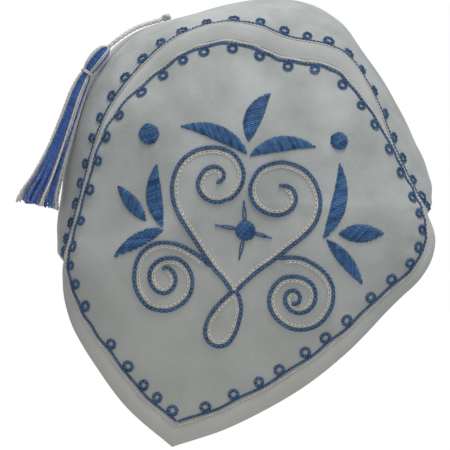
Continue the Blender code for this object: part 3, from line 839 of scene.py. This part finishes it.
# In millimetres: from one place of a line to the next, and from the blue line to the white
STEP, WHITE_GAP = 0.6, 2.15
blue_parts, white_parts = [], []
for number, (name, rows) in enumerate(SCROLLS.items()):
    flat = even_line(rows, STEP)
    blue_parts.append(chain_row(Line(*on_panel(flat)), **BLUE_CHAIN, seed=number))
    side, start, end = WHITE_SIDE[name]
    inner = beside(flat, side * WHITE_GAP)
    begin = int(round(start / STEP))
    stop = len(inner) - int(round(max(end, 0) / STEP))
    inner = inner[begin:stop]
    if end < 0:
        way = inner[-1] - inner[-2]
        more = [inner[-1] + way * k for k in range(1, int(-end / STEP) + 1)]
        inner = np.vstack([inner, more])
    white_parts.append(chain_row(Line(*on_panel(inner)), **WHITE_CHAIN, seed=50 + number))
    print(name, "is", round(len(flat) * STEP), "mm of chain")

# %% [markdown]
# ## Satin stitch
#
# A leaf in satin stitch is a bundle of straight threads laid side by side from one edge
# to the other, over a little padding that domes it. Every thread runs in the same
# direction, which gives each leaf its own shine. For each thread the leaf's outline is
# cut by a straight line, and a flattened tube arches from one cut to the other. Real floss
# is about half a millimetre thick; here it is drawn 1.0 mm wide, so that it shows.

# %% Threads across an outline


def satin(outline, direction, rise, spacing=1.0, seed=0):
    """Flat outline in millimetres, filled with threads that run at this angle."""
    angle = math.radians(direction)
    v_axis = np.array((math.cos(angle), math.sin(angle)))
    u_axis = np.array((-v_axis[1], v_axis[0]))
    u, v = outline @ u_axis, outline @ v_axis
    rng = np.random.default_rng(seed)
    levels = np.arange(u.min() + spacing * 0.35, u.max() - spacing * 0.1, spacing)
    runs = []
    for level in levels:
        nxt = np.roll(u, -1)
        cut = np.nonzero((u - level) * (nxt - level) < 0)[0]
        if len(cut) < 2:
            continue
        f = (level - u[cut]) / (nxt[cut] - u[cut])
        at = v[cut] + f * (np.roll(v, -1)[cut] - v[cut])
        low, high = at.min() + rng.uniform(-0.22, 0.1), at.max() + rng.uniform(-0.1, 0.22)
        runs.append((level, low, high))
    steps, sides = 10, 8
    t = np.linspace(0, 1, steps)
    starts = np.array([u_axis * level + v_axis * low for level, low, _ in runs])
    ends = np.array([u_axis * level + v_axis * high for level, _, high in runs])
    wobble = rng.uniform(-0.06, 0.06, (len(runs), 1, 1)) * np.sin(math.pi * t)[None, :, None]
    flat = starts[:, None] + (ends - starts)[:, None] * t[None, :, None] + wobble * u_axis
    length = np.linalg.norm(ends - starts, axis=1)
    arch = np.sqrt(np.maximum(1 - (2 * t - 1) ** 2, 0)) ** 0.9
    dome = rise * np.clip(length / length.max(), 0.15, 1)[:, None] ** 0.8 * arch[None]
    place, normal = on_panel(flat.reshape(-1, 2))
    middle = place + normal * (dome.ravel()[:, None] * MM)
    middle3 = middle.reshape(len(runs), steps, 3)
    normal3 = normal.reshape(len(runs), steps, 3)
    way = unit(np.gradient(middle3, axis=1))
    aside = unit(np.cross(normal3, way))
    above = np.cross(way, aside)
    full = np.clip(np.sin(math.pi * (0.06 + 0.88 * t)) * 3, 0.5, 1)
    wide, thick = spacing * 0.56 * MM, spacing * 0.40 * MM
    ring = []
    for step in range(sides):
        turn = math.pi * 2 * step / sides + math.pi / 2
        ring.append(middle3 + (aside * math.cos(turn) * wide + above * math.sin(turn) * thick)
                    * full[None, :, None])
    points = np.stack(ring, axis=2).reshape(-1, 3)
    faces, rows_of, columns_of = grid_faces(steps, sides, closed_columns=True)
    per = steps * sides
    all_faces = (faces[None] + np.arange(len(runs))[:, None, None] * per).reshape(-1, 4)
    flat_map = np.stack([
        np.tile(columns_of.ravel() / sides, len(runs)) + np.repeat(
            rng.permutation(len(runs)), len(faces) * 4) + 0.001,
        np.tile(rows_of.ravel() / steps, len(runs)) * np.repeat(length, len(faces) * 4),
    ], axis=1)
    return points, all_faces, flat_map


def leaf_outline(base, middle, tip, width):
    """Outline of a leaf on a bent spine, pointed at both ends."""
    base, middle, tip = (np.array(p, float) for p in (base, middle, tip))
    t = np.linspace(0, 1, 40)[:, None]
    bend = 2 * middle - (base + tip) / 2
    spine = base * (1 - t) ** 2 + bend * 2 * t * (1 - t) + tip * t**2
    way = unit(np.gradient(spine, axis=0))
    half = width / 2 * np.sin(math.pi * t**0.92) ** 0.82
    aside = np.column_stack([-way[:, 1], way[:, 0]])
    return np.vstack([spine + aside * half, (spine - aside * half)[::-1][1:-1]])


# %% The leaves
# base, middle of the spine, tip, width, and the threads' direction in degrees
LEAVES = (
    ((-9.0, 42.7), (-9.2, 56.9), (-3.2, 70.0), 9.4, 24),
    ((-8.6, 35.8), (-26.0, 43.4), (-45.1, 42.7), 8.1, 124),
    ((-6.8, 35.2), (7.9, 45.0), (25.6, 47.0), 8.1, 133),
    ((-43.1, -10.6), (-51.1, 4.1), (-53.1, 20.8), 8.3, 32),
    ((-52.5, -9.5), (-61.6, -2.1), (-70.9, 5.4), 7.3, 84),
    ((-42.3, -11.8), (-54.5, -20.3), (-64.8, -31.3), 7.3, 18),
    ((39.5, 1.6), (43.8, 21.6), (39.7, 41.6), 7.8, 42),
    ((47.1, 5.5), (58.5, 8.3), (70.0, 11.0), 9.6, 58),
    ((41.5, 1.3), (53.7, -7.3), (64.7, -17.6), 7.0, 102),
)
LEAF_RISE, DOT_RISE = 0.95, 1.55
for number, (base, middle_of, tip, width, direction) in enumerate(LEAVES):
    outline = leaf_outline(base, middle_of, tip, width)
    blue_parts.append(satin(outline, direction, LEAF_RISE, seed=number))
print(len(LEAVES), "leaves in satin stitch")

# %% [markdown]
# ## Dots and the little star
#
# Two round dots fill the corners of the ground, and a third is the middle of a star
# inside the heart. Its four arms are single long loops, each held by a short stitch at
# its far end. The dots are satin stitch over more padding, so they stand up like buttons.

# %% Dots and long loops


def thread_tube(places, normals, radius, sides=6):
    """A tube of thread along a line, thinner at its ends."""
    way = unit(np.gradient(places, axis=0))
    aside = unit(np.cross(normals, way))
    above = np.cross(way, aside)
    t = np.linspace(0, 1, len(places))
    full = np.clip(np.sin(math.pi * (0.03 + 0.94 * t)) * 5, 0.45, 1)[:, None]
    rings = []
    for step in range(sides):
        turn = 2 * math.pi * step / sides
        rings.append(places + (aside * math.cos(turn) + above * math.sin(turn)) * radius * full)
    points = np.stack(rings, axis=1).reshape(-1, 3)
    faces, rows_of, columns_of = grid_faces(len(places), sides, closed_columns=True)
    run = np.concatenate([[0], np.cumsum(np.linalg.norm(np.diff(places, axis=0), axis=1))]) / MM
    flat = np.stack([columns_of.ravel() / sides, run[rows_of.ravel()]], axis=1)
    return points, faces, flat


DOTS = (((-60.8, 35.2), 5.3, 28), ((37.0, 53.0), 4.6, 40), ((-0.9, -3.2), 5.2, 62))
for number, (middle_of, radius, direction) in enumerate(DOTS):
    turn = np.linspace(0, 2 * math.pi, 49)[:-1]
    circle = np.array(middle_of) + radius * np.column_stack([np.cos(turn), np.sin(turn)])
    blue_parts.append(satin(circle, direction, DOT_RISE, seed=20 + number))

LOOP_SHARE, LOOP_HALF_WIDTH = 0.72, 0.72
LOOP_RADIUS, TAIL_RADIUS = 0.00040, 0.00046
STAR_ARMS = ((-5.0, 12.1), (-16.9, -3.8), (13.5, -4.1), (-0.8, -18.9))
star = np.array(DOTS[2][0])
for tip in STAR_ARMS:
    tip = np.array(tip)
    way = (tip - star) / np.linalg.norm(tip - star)
    aside = np.array((-way[1], way[0]))
    start = star + way * (DOTS[2][1] - 0.8)
    long = np.linalg.norm(tip - start)
    turn = np.linspace(0.02, 0.98, 34) * 2 * math.pi
    along = (1 - np.cos(turn)) / 2 * LOOP_SHARE
    wide = np.sin(turn) * LOOP_HALF_WIDTH
    flat = start + way * (along * long)[:, None] + aside * wide[:, None]
    place, normal = on_panel(flat)
    blue_parts.append(thread_tube(place + normal * 0.00034, steady(normal), LOOP_RADIUS))
    tail = start + way * np.linspace(LOOP_SHARE * 0.93, 1, 8)[:, None] * long
    place, normal = on_panel(tail)
    blue_parts.append(thread_tube(place + normal * 0.00044, normal, TAIL_RADIUS))
print(len(DOTS), "dots and", len(STAR_ARMS), "star arms")

# %% [markdown]
# ## The border on the panel
#
# Inside the binding runs a white line of chain, then a fine blue one, and from the blue
# one a ring hangs every centimetre or so. The border is measured from the binding's inner
# edge rather than on the flat pattern, because it keeps its distance all the way round.

# %% Lines that follow the edge


def border_line(first, last, distance, wobble=0.0):
    """A line on the panel's felt at one distance inside the binding."""
    stations, long = spread_stations(first, last, 3)
    stations, long = spread_stations(first, last, max(6, int(long / 0.0009)))
    slant = np.interp(stations, band_stations, band["slant"])
    width = np.interp(stations, band_stations, band["width"])
    sway = wobble * np.sin(stations * 7.3)
    share = share_from_edge(stations, width + (distance + sway) / slant)
    return Line(*drop_on(panel_tree, panel_at(stations, share), panel_normal(stations, share)))


def ring_of_chain(tree, place, normal, way, seed, radius=0.0023, squash=1.0):
    """A ring of chain stitch that hangs from the border: way points away from it."""
    way = unit(way - normal * np.dot(way, normal))
    aside = np.cross(normal, way)
    turn = np.linspace(-0.5 * math.pi, 1.72 * math.pi, 40)
    places = place + radius * (
        np.cos(turn)[:, None] * aside * squash + np.sin(turn)[:, None] * way)
    found = drop_on(tree, places, np.tile(normal, (len(turn), 1)))
    return chain_row(Line(*found), width=0.0020, thread=0.00070, pitch=0.0023, seed=seed)


EDGE_CHAIN = dict(width=0.0010, thread=0.00040, pitch=0.0019)
WHITE_IN, BLUE_IN, RING_HANG = 0.0006, 0.0025, 0.0031
white_line = border_line(0.02, TIP - 0.02, WHITE_IN)
blue_line = border_line(0.02, TIP - 0.02, BLUE_IN, 0.00025)
white_parts.append(chain_row(white_line, **EDGE_CHAIN, seed=70))
blue_parts.append(chain_row(blue_line, **FINE_CHAIN, seed=71))
print("border is", round(blue_line.length / MM), "mm long")

# %% Rings along the panel's border
PANEL_RINGS = [
    0.16, 0.56, 0.93, 1.46, 2.12, 3.30, 4.10, 4.85, 5.50, 6.20, 6.90, 7.57, 8.16, 8.78, 9.53,
    10.22, 10.90, 11.49, 12.30, 13.24, 14.33, 15.11, 16.26, 16.94, 17.50, 18.20, 19.00, 19.90,
    20.90, 21.60, 22.24, 22.80, 23.45, 24.08, 24.70, 25.20, 25.66, 26.19, 26.54, 26.97, 27.50,
]
ring_stations = np.array(PANEL_RINGS)
ring_slant = np.interp(ring_stations, band_stations, band["slant"])
rng = np.random.default_rng(5)
hang = BLUE_IN + RING_HANG + rng.uniform(-0.0003, 0.0003, len(ring_stations))
ring_width = np.interp(ring_stations, band_stations, band["width"])
ring_share_at = share_from_edge(ring_stations, ring_width + hang / ring_slant)
ring_middle = panel_at(ring_stations, ring_share_at)
ring_normal = panel_normal(ring_stations, ring_share_at)
inward = panel_at(ring_stations, ring_share_at - 0.03) - ring_middle
ring_middle, ring_normal = drop_on(panel_tree, ring_middle, ring_normal)
for i in range(len(ring_stations)):
    blue_parts.append(ring_of_chain(
        panel_tree, ring_middle[i], ring_normal[i], inward[i], 100 + i,
        squash=rng.uniform(0.78, 1.05)))
print(len(ring_stations), "rings on each panel")

# %% Both panels' embroidery
for hand in ("right", "left"):
    chosen = [sides_of(part)[hand] for part in blue_parts]
    make_piece(f"{hand}_blue_embroidery", chosen, blue_floss)
    chosen = [sides_of(part)[hand] for part in white_parts]
    make_piece(f"{hand}_white_embroidery", chosen, white_floss)

# %% [markdown]
# ## The border on the strip
#
# The strip has the same border outside the binding: tiny white stitches where the
# binding is sewn down, a fine blue line, and rings that point away from it, towards the
# top of the head. The strip's felt is found in the same way, by distance from the seam.

# %% Places on the strip by distance from the seam


def strip_place(stations, distance, side):
    """Places this far from the binding's outer edge, on the strip's felt."""
    stations = np.atleast_1d(np.asarray(stations, float))
    half = np.linalg.norm(strip_at(stations, 1.0) - strip_at(stations, 0.8), axis=1) / 0.2
    across = 1 - (distance + BINDING_THICKNESS / 2) / half
    return strip_at(stations, side * across), strip_normal(stations, side * across)


def strip_line(distance, side):
    stations, _ = spread_stations(FIRST_SEWN + 0.1, LAST_SEWN - 0.1, 430)
    return Line(*drop_on(strip_tree, *strip_place(stations, distance, side)))


STRIP_RINGS = np.array([
    5.30, 5.70, 6.14, 6.57, 7.01, 7.44, 8.00, 8.47, 9.00, 9.47, 10.00, 10.56, 11.12, 11.68,
    12.33, 13.05, 13.86, 14.48, 15.04, 15.82, 16.35, 16.85, 17.40, 18.00, 18.65, 19.40, 20.10,
    20.70,
])
# How far outside the binding: white stitches, blue line, a ring's middle, its far side
STRIP_WHITE, STRIP_BLUE, RING_MIDDLE, RING_FAR = 0.0003, 0.0012, 0.0044, 0.0068
strip_blue, strip_white = [], []
for side in (-1, 1):
    strip_white.append(chain_row(strip_line(STRIP_WHITE, side), **EDGE_CHAIN, seed=80))
    strip_blue.append(chain_row(strip_line(STRIP_BLUE, side), **FINE_CHAIN, seed=81))
    places, ways = strip_place(STRIP_RINGS, RING_MIDDLE, side)
    toward, _ = strip_place(STRIP_RINGS, RING_FAR, side)
    found, normals = drop_on(strip_tree, places, ways)
    for i in range(len(STRIP_RINGS)):
        strip_blue.append(ring_of_chain(
            strip_tree, found[i], normals[i], toward[i] - places[i], 300 + i,
            squash=rng.uniform(0.78, 1.05)))
make_piece("crown_strip_blue_embroidery", strip_blue, blue_floss)
make_piece("crown_strip_white_stitches", strip_white, white_floss)

# %% [markdown]
# ## The cord
#
# A short cord is knotted to the back of the crown and carries the tassel. It is two
# plies twisted, white and soft, so it follows the felt and cannot stand out from it. Its
# route is a table in shares of its length, and the section of the tube is two lobes that
# turn as they go.

# %% The route over the crown
CORD_DIAMETER, CORD_LENGTH = 0.0026, 0.036
KNOT_PLACE, KNOT_WIDTH, KNOT_THICKNESS = 0.375, 0.0062, 0.0040
TASSEL_LENGTH, HEAD_LENGTH = 0.0925, 0.017
HEAD_DIAMETER, NECK_DIAMETER, SKIRT_DIAMETER = 0.0098, 0.0062, 0.025
CORD_ROUTE = ((0.10, 0.00), (0.22, 0.06), (0.36, 0.34), (0.46, 0.78), (0.48, 1.00))
knot_station = FIRST_SEWN + KNOT_PLACE * (LAST_SEWN - FIRST_SEWN)
crest_fine = np.linspace(FIRST_SEWN, LAST_SEWN, 1601)
crest_places = smooth_rows(crest_rows, crest_fine - FIRST_SEWN)
crest_run = np.linalg.norm(np.diff(crest_places, axis=0), axis=1)
crest_walk = np.concatenate([[0], np.cumsum(crest_run)])


def walk_down(distance):
    """Station this far down the back of the crown from the knot."""
    start = np.interp(knot_station, crest_fine, crest_walk)
    return np.interp(start - np.asarray(distance, float), crest_walk, crest_fine)


route = []
for i, (aside, lift) in enumerate(CORD_ROUTE):
    place, normal = strip_face(walk_down(CORD_LENGTH * i / 4), -aside)
    radius = (CORD_DIAMETER + (HEAD_DIAMETER - CORD_DIAMETER) * lift) / 2
    route.append(place[0] + normal[0] * (radius + SEAM_GAP))
route = np.array(route)
first, final = KNOT_WIDTH / 2 + SEAM_GAP, CORD_LENGTH - 2 * SEAM_GAP
cord_marks = np.linspace(first, final, 91)
cord_path = smooth_rows(route, 4 * cord_marks / CORD_LENGTH)

# %% Twisted strands


def twisted(places, normals, radius, pitch, sides=8, plies=2, depth=0.17, start=0.0):
    """A strand of plies twisted together; radius may change along it."""
    radius = np.broadcast_to(radius, len(places))
    way = unit(np.gradient(places, axis=0))
    aside = unit(np.cross(normals, way))
    above = np.cross(way, aside)
    run = np.concatenate([[0], np.cumsum(np.linalg.norm(np.diff(places, axis=0), axis=1))])
    turn = 2 * math.pi * np.arange(sides) / sides
    lean = 2 * math.pi * run / pitch + start
    lobes = 1 - depth + depth * np.cos(plies * (turn[None] - lean[:, None]))
    size = (radius[:, None] * lobes)[..., None]
    cosine, sine = np.cos(turn)[None, :, None], np.sin(turn)[None, :, None]
    points = places[:, None] + size * (aside[:, None] * cosine + above[:, None] * sine)
    faces, rows_of, columns_of = grid_faces(len(places), sides, closed_columns=True)
    ends = []
    for row in (0, len(places) - 1):
        ids = row * sides + np.arange(sides)
        for k in range(1, sides // 2):
            ends.append((ids[k - 1], ids[k], ids[sides - 1 - k], ids[sides - k]))
    faces = np.vstack([faces, np.array(ends)])
    flat = np.stack([columns_of.ravel() / sides, run[rows_of.ravel()] / MM], axis=1)
    flat = np.vstack([flat, np.zeros((len(ends) * 4, 2))])
    return points.reshape(-1, 3), faces, flat


cord_normals = strip_normal(walk_down(cord_marks), -np.interp(
    cord_marks, np.linspace(0, CORD_LENGTH, 5), [row[0] for row in CORD_ROUTE]))
CORD_PITCH = 0.0062
cord_part = twisted(cord_path, cord_normals, CORD_DIAMETER / 2, CORD_PITCH, sides=14, depth=0.13)
cord = make_piece("tassel_cord_twist", [cord_part], white_yarn, ["tassel_cord"])

# %% [markdown]
# ## The knot
#
# The cord ends in a small flat knot that is stitched to the felt. A closed trefoil drawn
# flat has the same over-and-under look, so one turn of twisted cord follows that curve.

# %% A flat knot of cord
KNOT_CORD_RADIUS, KNOT_CORD_PITCH, KNOT_LIFT = 0.00115, 0.004, 0.0008
knot_place, knot_normal = (a[0] for a in strip_face(knot_station, -CORD_ROUTE[0][0]))
knot_middle = knot_place + knot_normal * (KNOT_THICKNESS / 2 + SEAM_GAP)
knot_side = unit(np.cross(knot_normal, (0.0, 0.0, 1.0)))
knot_way = np.cross(knot_side, knot_normal)
u = np.linspace(0, 2 * math.pi, 97)[:-1]
wide = (KNOT_WIDTH / 2 - 0.0011) / 3
knot_flat = np.column_stack([
    (np.sin(u) + 2 * np.sin(2 * u)) * wide, (np.cos(u) - 2 * np.cos(2 * u)) * wide])
knot_path = (
    knot_middle + knot_side * knot_flat[:, :1] + knot_way * knot_flat[:, 1:]
    - knot_normal * (np.sin(3 * u) * KNOT_LIFT)[:, None])
knot_path = np.vstack([knot_path, knot_path[:2]])
knot_normals = np.tile(knot_normal, (len(knot_path), 1))
knot_part = twisted(knot_path, knot_normals, KNOT_CORD_RADIUS, KNOT_CORD_PITCH, sides=10,
                    depth=0.13)
make_piece("cord_end_knot", [knot_part], white_yarn, ["cord_knot"])

# %% [markdown]
# ## The tassel
#
# A tassel is a skein of yarn folded over the cord and tied at the neck. Its head is a
# tight bulb of the same strands that hang below as the skirt. Hair particles would give
# loose fibres, but this yarn is thick and countable, so each strand is its own twisted
# tube. The strands keep their places from head to skirt, and bands of white and blue
# alternate round it.

# %% Rings of the tassel, from the head to the skirt's end
# down, of which part, share of its diameter
TASSEL_ROWS = (
    (0.00, HEAD_DIAMETER, 0.42), (0.10, HEAD_DIAMETER, 0.74), (0.30, HEAD_DIAMETER, 0.98),
    (0.55, HEAD_DIAMETER, 1.00), (0.80, HEAD_DIAMETER, 0.86), (0.93, NECK_DIAMETER, 1.00),
    (1.00, NECK_DIAMETER, 1.00), (1.04, SKIRT_DIAMETER, 0.34), (1.16, SKIRT_DIAMETER, 0.41),
    (1.38, SKIRT_DIAMETER, 0.47), (1.60, SKIRT_DIAMETER, 0.57), (1.80, SKIRT_DIAMETER, 0.76),
    (1.93, SKIRT_DIAMETER, 0.94), (2.00, SKIRT_DIAMETER, 1.00),
)
tassel_rows, tassel_marks = [], []
for down, diameter, share in TASSEL_ROWS:
    distance = down * HEAD_LENGTH if down <= 1 else (
        HEAD_LENGTH + (down - 1) * (TASSEL_LENGTH - HEAD_LENGTH))
    radius = share * diameter / 2
    lie = max(radius, HEAD_DIAMETER / 2)
    place, normal = strip_face(walk_down(CORD_LENGTH + distance), -CORD_ROUTE[-1][0])
    middle_of = place[0] + normal[0] * (lie + SEAM_GAP)
    tassel_rows.append(np.concatenate([middle_of, normal[0], [radius]]))
    tassel_marks.append(distance)
tassel_rows, tassel_marks = np.array(tassel_rows), np.array(tassel_marks)
print("tassel", tassel_marks[-1] / MM, "mm long")


def tassel_frame(distance):
    """Middle, outward and sideways directions and radius at distances down the tassel."""
    index = np.interp(distance, tassel_marks, np.arange(len(tassel_marks)))
    rows = smooth_rows(tassel_rows, index)
    middle_of = rows[:, :3]
    down = unit(np.gradient(middle_of, axis=0))
    out = unit(rows[:, 3:6] - down * np.sum(rows[:, 3:6] * down, axis=1, keepdims=True))
    return middle_of, out, np.cross(down, out), rows[:, 6]


# %% Every strand of yarn
STRANDS, STRAND_RADIUS, STRAND_PITCH = 66, 0.00080, 0.0042
GOLDEN_ANGLE = 137.508
# Where the white bands lie round the tassel: angle from straight out, and half width
WHITE_BANDS = ((0, 26), (98, 15), (-98, 15), (152, 16), (-152, 16))
blue_strands, white_strands = [], []
rng = np.random.default_rng(11)
for k in range(STRANDS):
    inner_share = math.sqrt((k + 0.5) / STRANDS)
    angle = (k * GOLDEN_ANGLE) % 360 - 180
    white = any(abs((angle - at + 180) % 360 - 180) < half for at, half in WHITE_BANDS)
    long = TASSEL_LENGTH + 0.0015 - rng.uniform(0, 0.0070) * (1.15 - inner_share)
    marks = np.linspace(0.0, long, 110)
    middle_of, out, side, radius = tassel_frame(marks)
    thick = STRAND_RADIUS * np.interp(marks, [0, 0.003, 0.008, 0.0158, 0.017, 0.026, 0.05],
                                [0.75, 0.95, 1.0, 0.52, 0.52, 0.90, 1.0])
    loose = np.clip((marks - 0.03) / 0.06, 0, 1)
    sway = 9 * np.sin(marks / 0.019 + rng.uniform(0, 6)) * loose + rng.uniform(-14, 14) * loose
    turn = np.radians(angle + sway)
    away = (radius - thick) * inner_share
    curl = np.clip((marks - long + 0.013) / 0.013, 0, 1) ** 2
    away = away * (1 - 0.12 * loose * rng.uniform(0, 1)) + curl * rng.uniform(0, 0.0022)
    spoke = out * np.cos(turn)[:, None] + side * np.sin(turn)[:, None]
    path = middle_of + spoke * away[:, None]
    strand = twisted(path, out, thick, STRAND_PITCH + rng.uniform(-0.0004, 0.0004), sides=8,
                     depth=0.21, start=rng.uniform(0, 6))
    (white_strands if white else blue_strands).append(strand)
make_piece("tassel_blue_yarn", blue_strands, blue_yarn, ["tassel"])
make_piece("tassel_white_yarn", white_strands, white_yarn)
print(len(blue_strands), "blue and", len(white_strands), "white strands")

# %% The thread round the neck
neck_marks = np.array([0.93, 1.0]).mean() * HEAD_LENGTH + np.array([-0.0002, 0.0, 0.0002])
neck_middle, neck_out, neck_side, _ = (a[1] for a in tassel_frame(neck_marks))
neck_down = np.cross(neck_out, neck_side) * -1
NECK_TURNS, NECK_POINTS, NECK_THREAD_RADIUS, NECK_THREAD_PITCH = 3, 120, 0.00042, 0.002
wind = np.linspace(0, NECK_TURNS * 2 * math.pi, NECK_POINTS)
neck_radius = NECK_DIAMETER / 2 + 0.00035
neck_spoke = neck_out * np.cos(wind)[:, None] + neck_side * np.sin(wind)[:, None]
neck_path = (
    neck_middle + neck_spoke * neck_radius
    + neck_down * np.linspace(-0.0008, 0.0008, NECK_POINTS)[:, None])
neck_normals = np.tile(neck_down, (NECK_POINTS, 1))
neck_part = twisted(neck_path, neck_normals, NECK_THREAD_RADIUS, NECK_THREAD_PITCH, sides=6)
make_piece("tassel_neck_thread", [neck_part], white_yarn,
           ["tassel_neck_wrap"])

# %% [markdown]
# ## Floor and light
#
# The cap is held up on its stand, so nothing lies on the floor and the ground shows only
# as pale space. One wide bowl gives both floor and wall without a corner. It shines a
# little by itself, so that it reads as white. The cloth is lit by an even sky and three
# large soft lamps: one high and one low in front of the panel, and one behind the crown.

# %% A pale bowl and soft lamps


def pale_bowl():
    profile = [(0.0, -0.62), (1.4, -0.62), (2.2, -0.55), (2.8, -0.2), (3.1, 0.5), (3.2, 2.4)]
    profile = even_line(profile, 0.12)
    turn = np.linspace(0, 2 * math.pi, 65)[:-1]
    points = np.stack([
        profile[:, None, 0] * np.cos(turn), profile[:, None, 0] * np.sin(turn),
        np.broadcast_to(profile[:, None, 1], (len(profile), 64)),
    ], axis=2).reshape(-1, 3)
    faces, _, _ = grid_faces(len(profile), 64, closed_columns=True)
    mesh = bpy.data.meshes.new("pale_floor")
    mesh.from_pydata(points.tolist(), [], faces.tolist())
    mesh.shade_smooth()
    return bpy.data.objects.new("pale_floor", mesh)


floor = pale_bowl()
bpy.context.scene.collection.objects.link(floor)
paint, shader = new_finish("white_floor_paint", 0.9, 0.0)
shader.inputs["Base Color"].default_value = swatch("#F4F4F4")
shader.inputs["Emission Color"].default_value = swatch("#FFFFFF")
shader.inputs["Emission Strength"].default_value = 0.62
floor.data.materials.append(paint)
floor.visible_diffuse = False
floor.visible_glossy = False
floor.visible_shadow = False

world = bpy.data.worlds.new("even_sky")
bpy.context.scene.world = world
world.use_nodes = True
sky = world.node_tree.nodes["Background"]
sky.inputs["Color"].default_value = swatch("#FBFCFF")
sky.inputs["Strength"].default_value = 0.37


def soft_lamp(name, place, size, power):
    data = bpy.data.lights.new(name, "AREA")
    data.shape, data.size, data.energy = "DISK", size, power
    lamp = bpy.data.objects.new(name, data)
    bpy.context.scene.collection.objects.link(lamp)
    lamp.location = place
    toward = Vector((0, 0, 0.02)) - Vector(place)
    lamp.rotation_euler = toward.to_track_quat("-Z", "Y").to_euler()
    return lamp


soft_lamp("high_front_lamp", (0.02, -0.42, 1.35), 0.7, 11.5)
soft_lamp("low_front_lamp", (0.25, -1.0, -0.55), 0.7, 2.4)
soft_lamp("back_lamp", (-0.9, 0.8, 0.9), 0.9, 7.0)
print("floor and lamps ready")
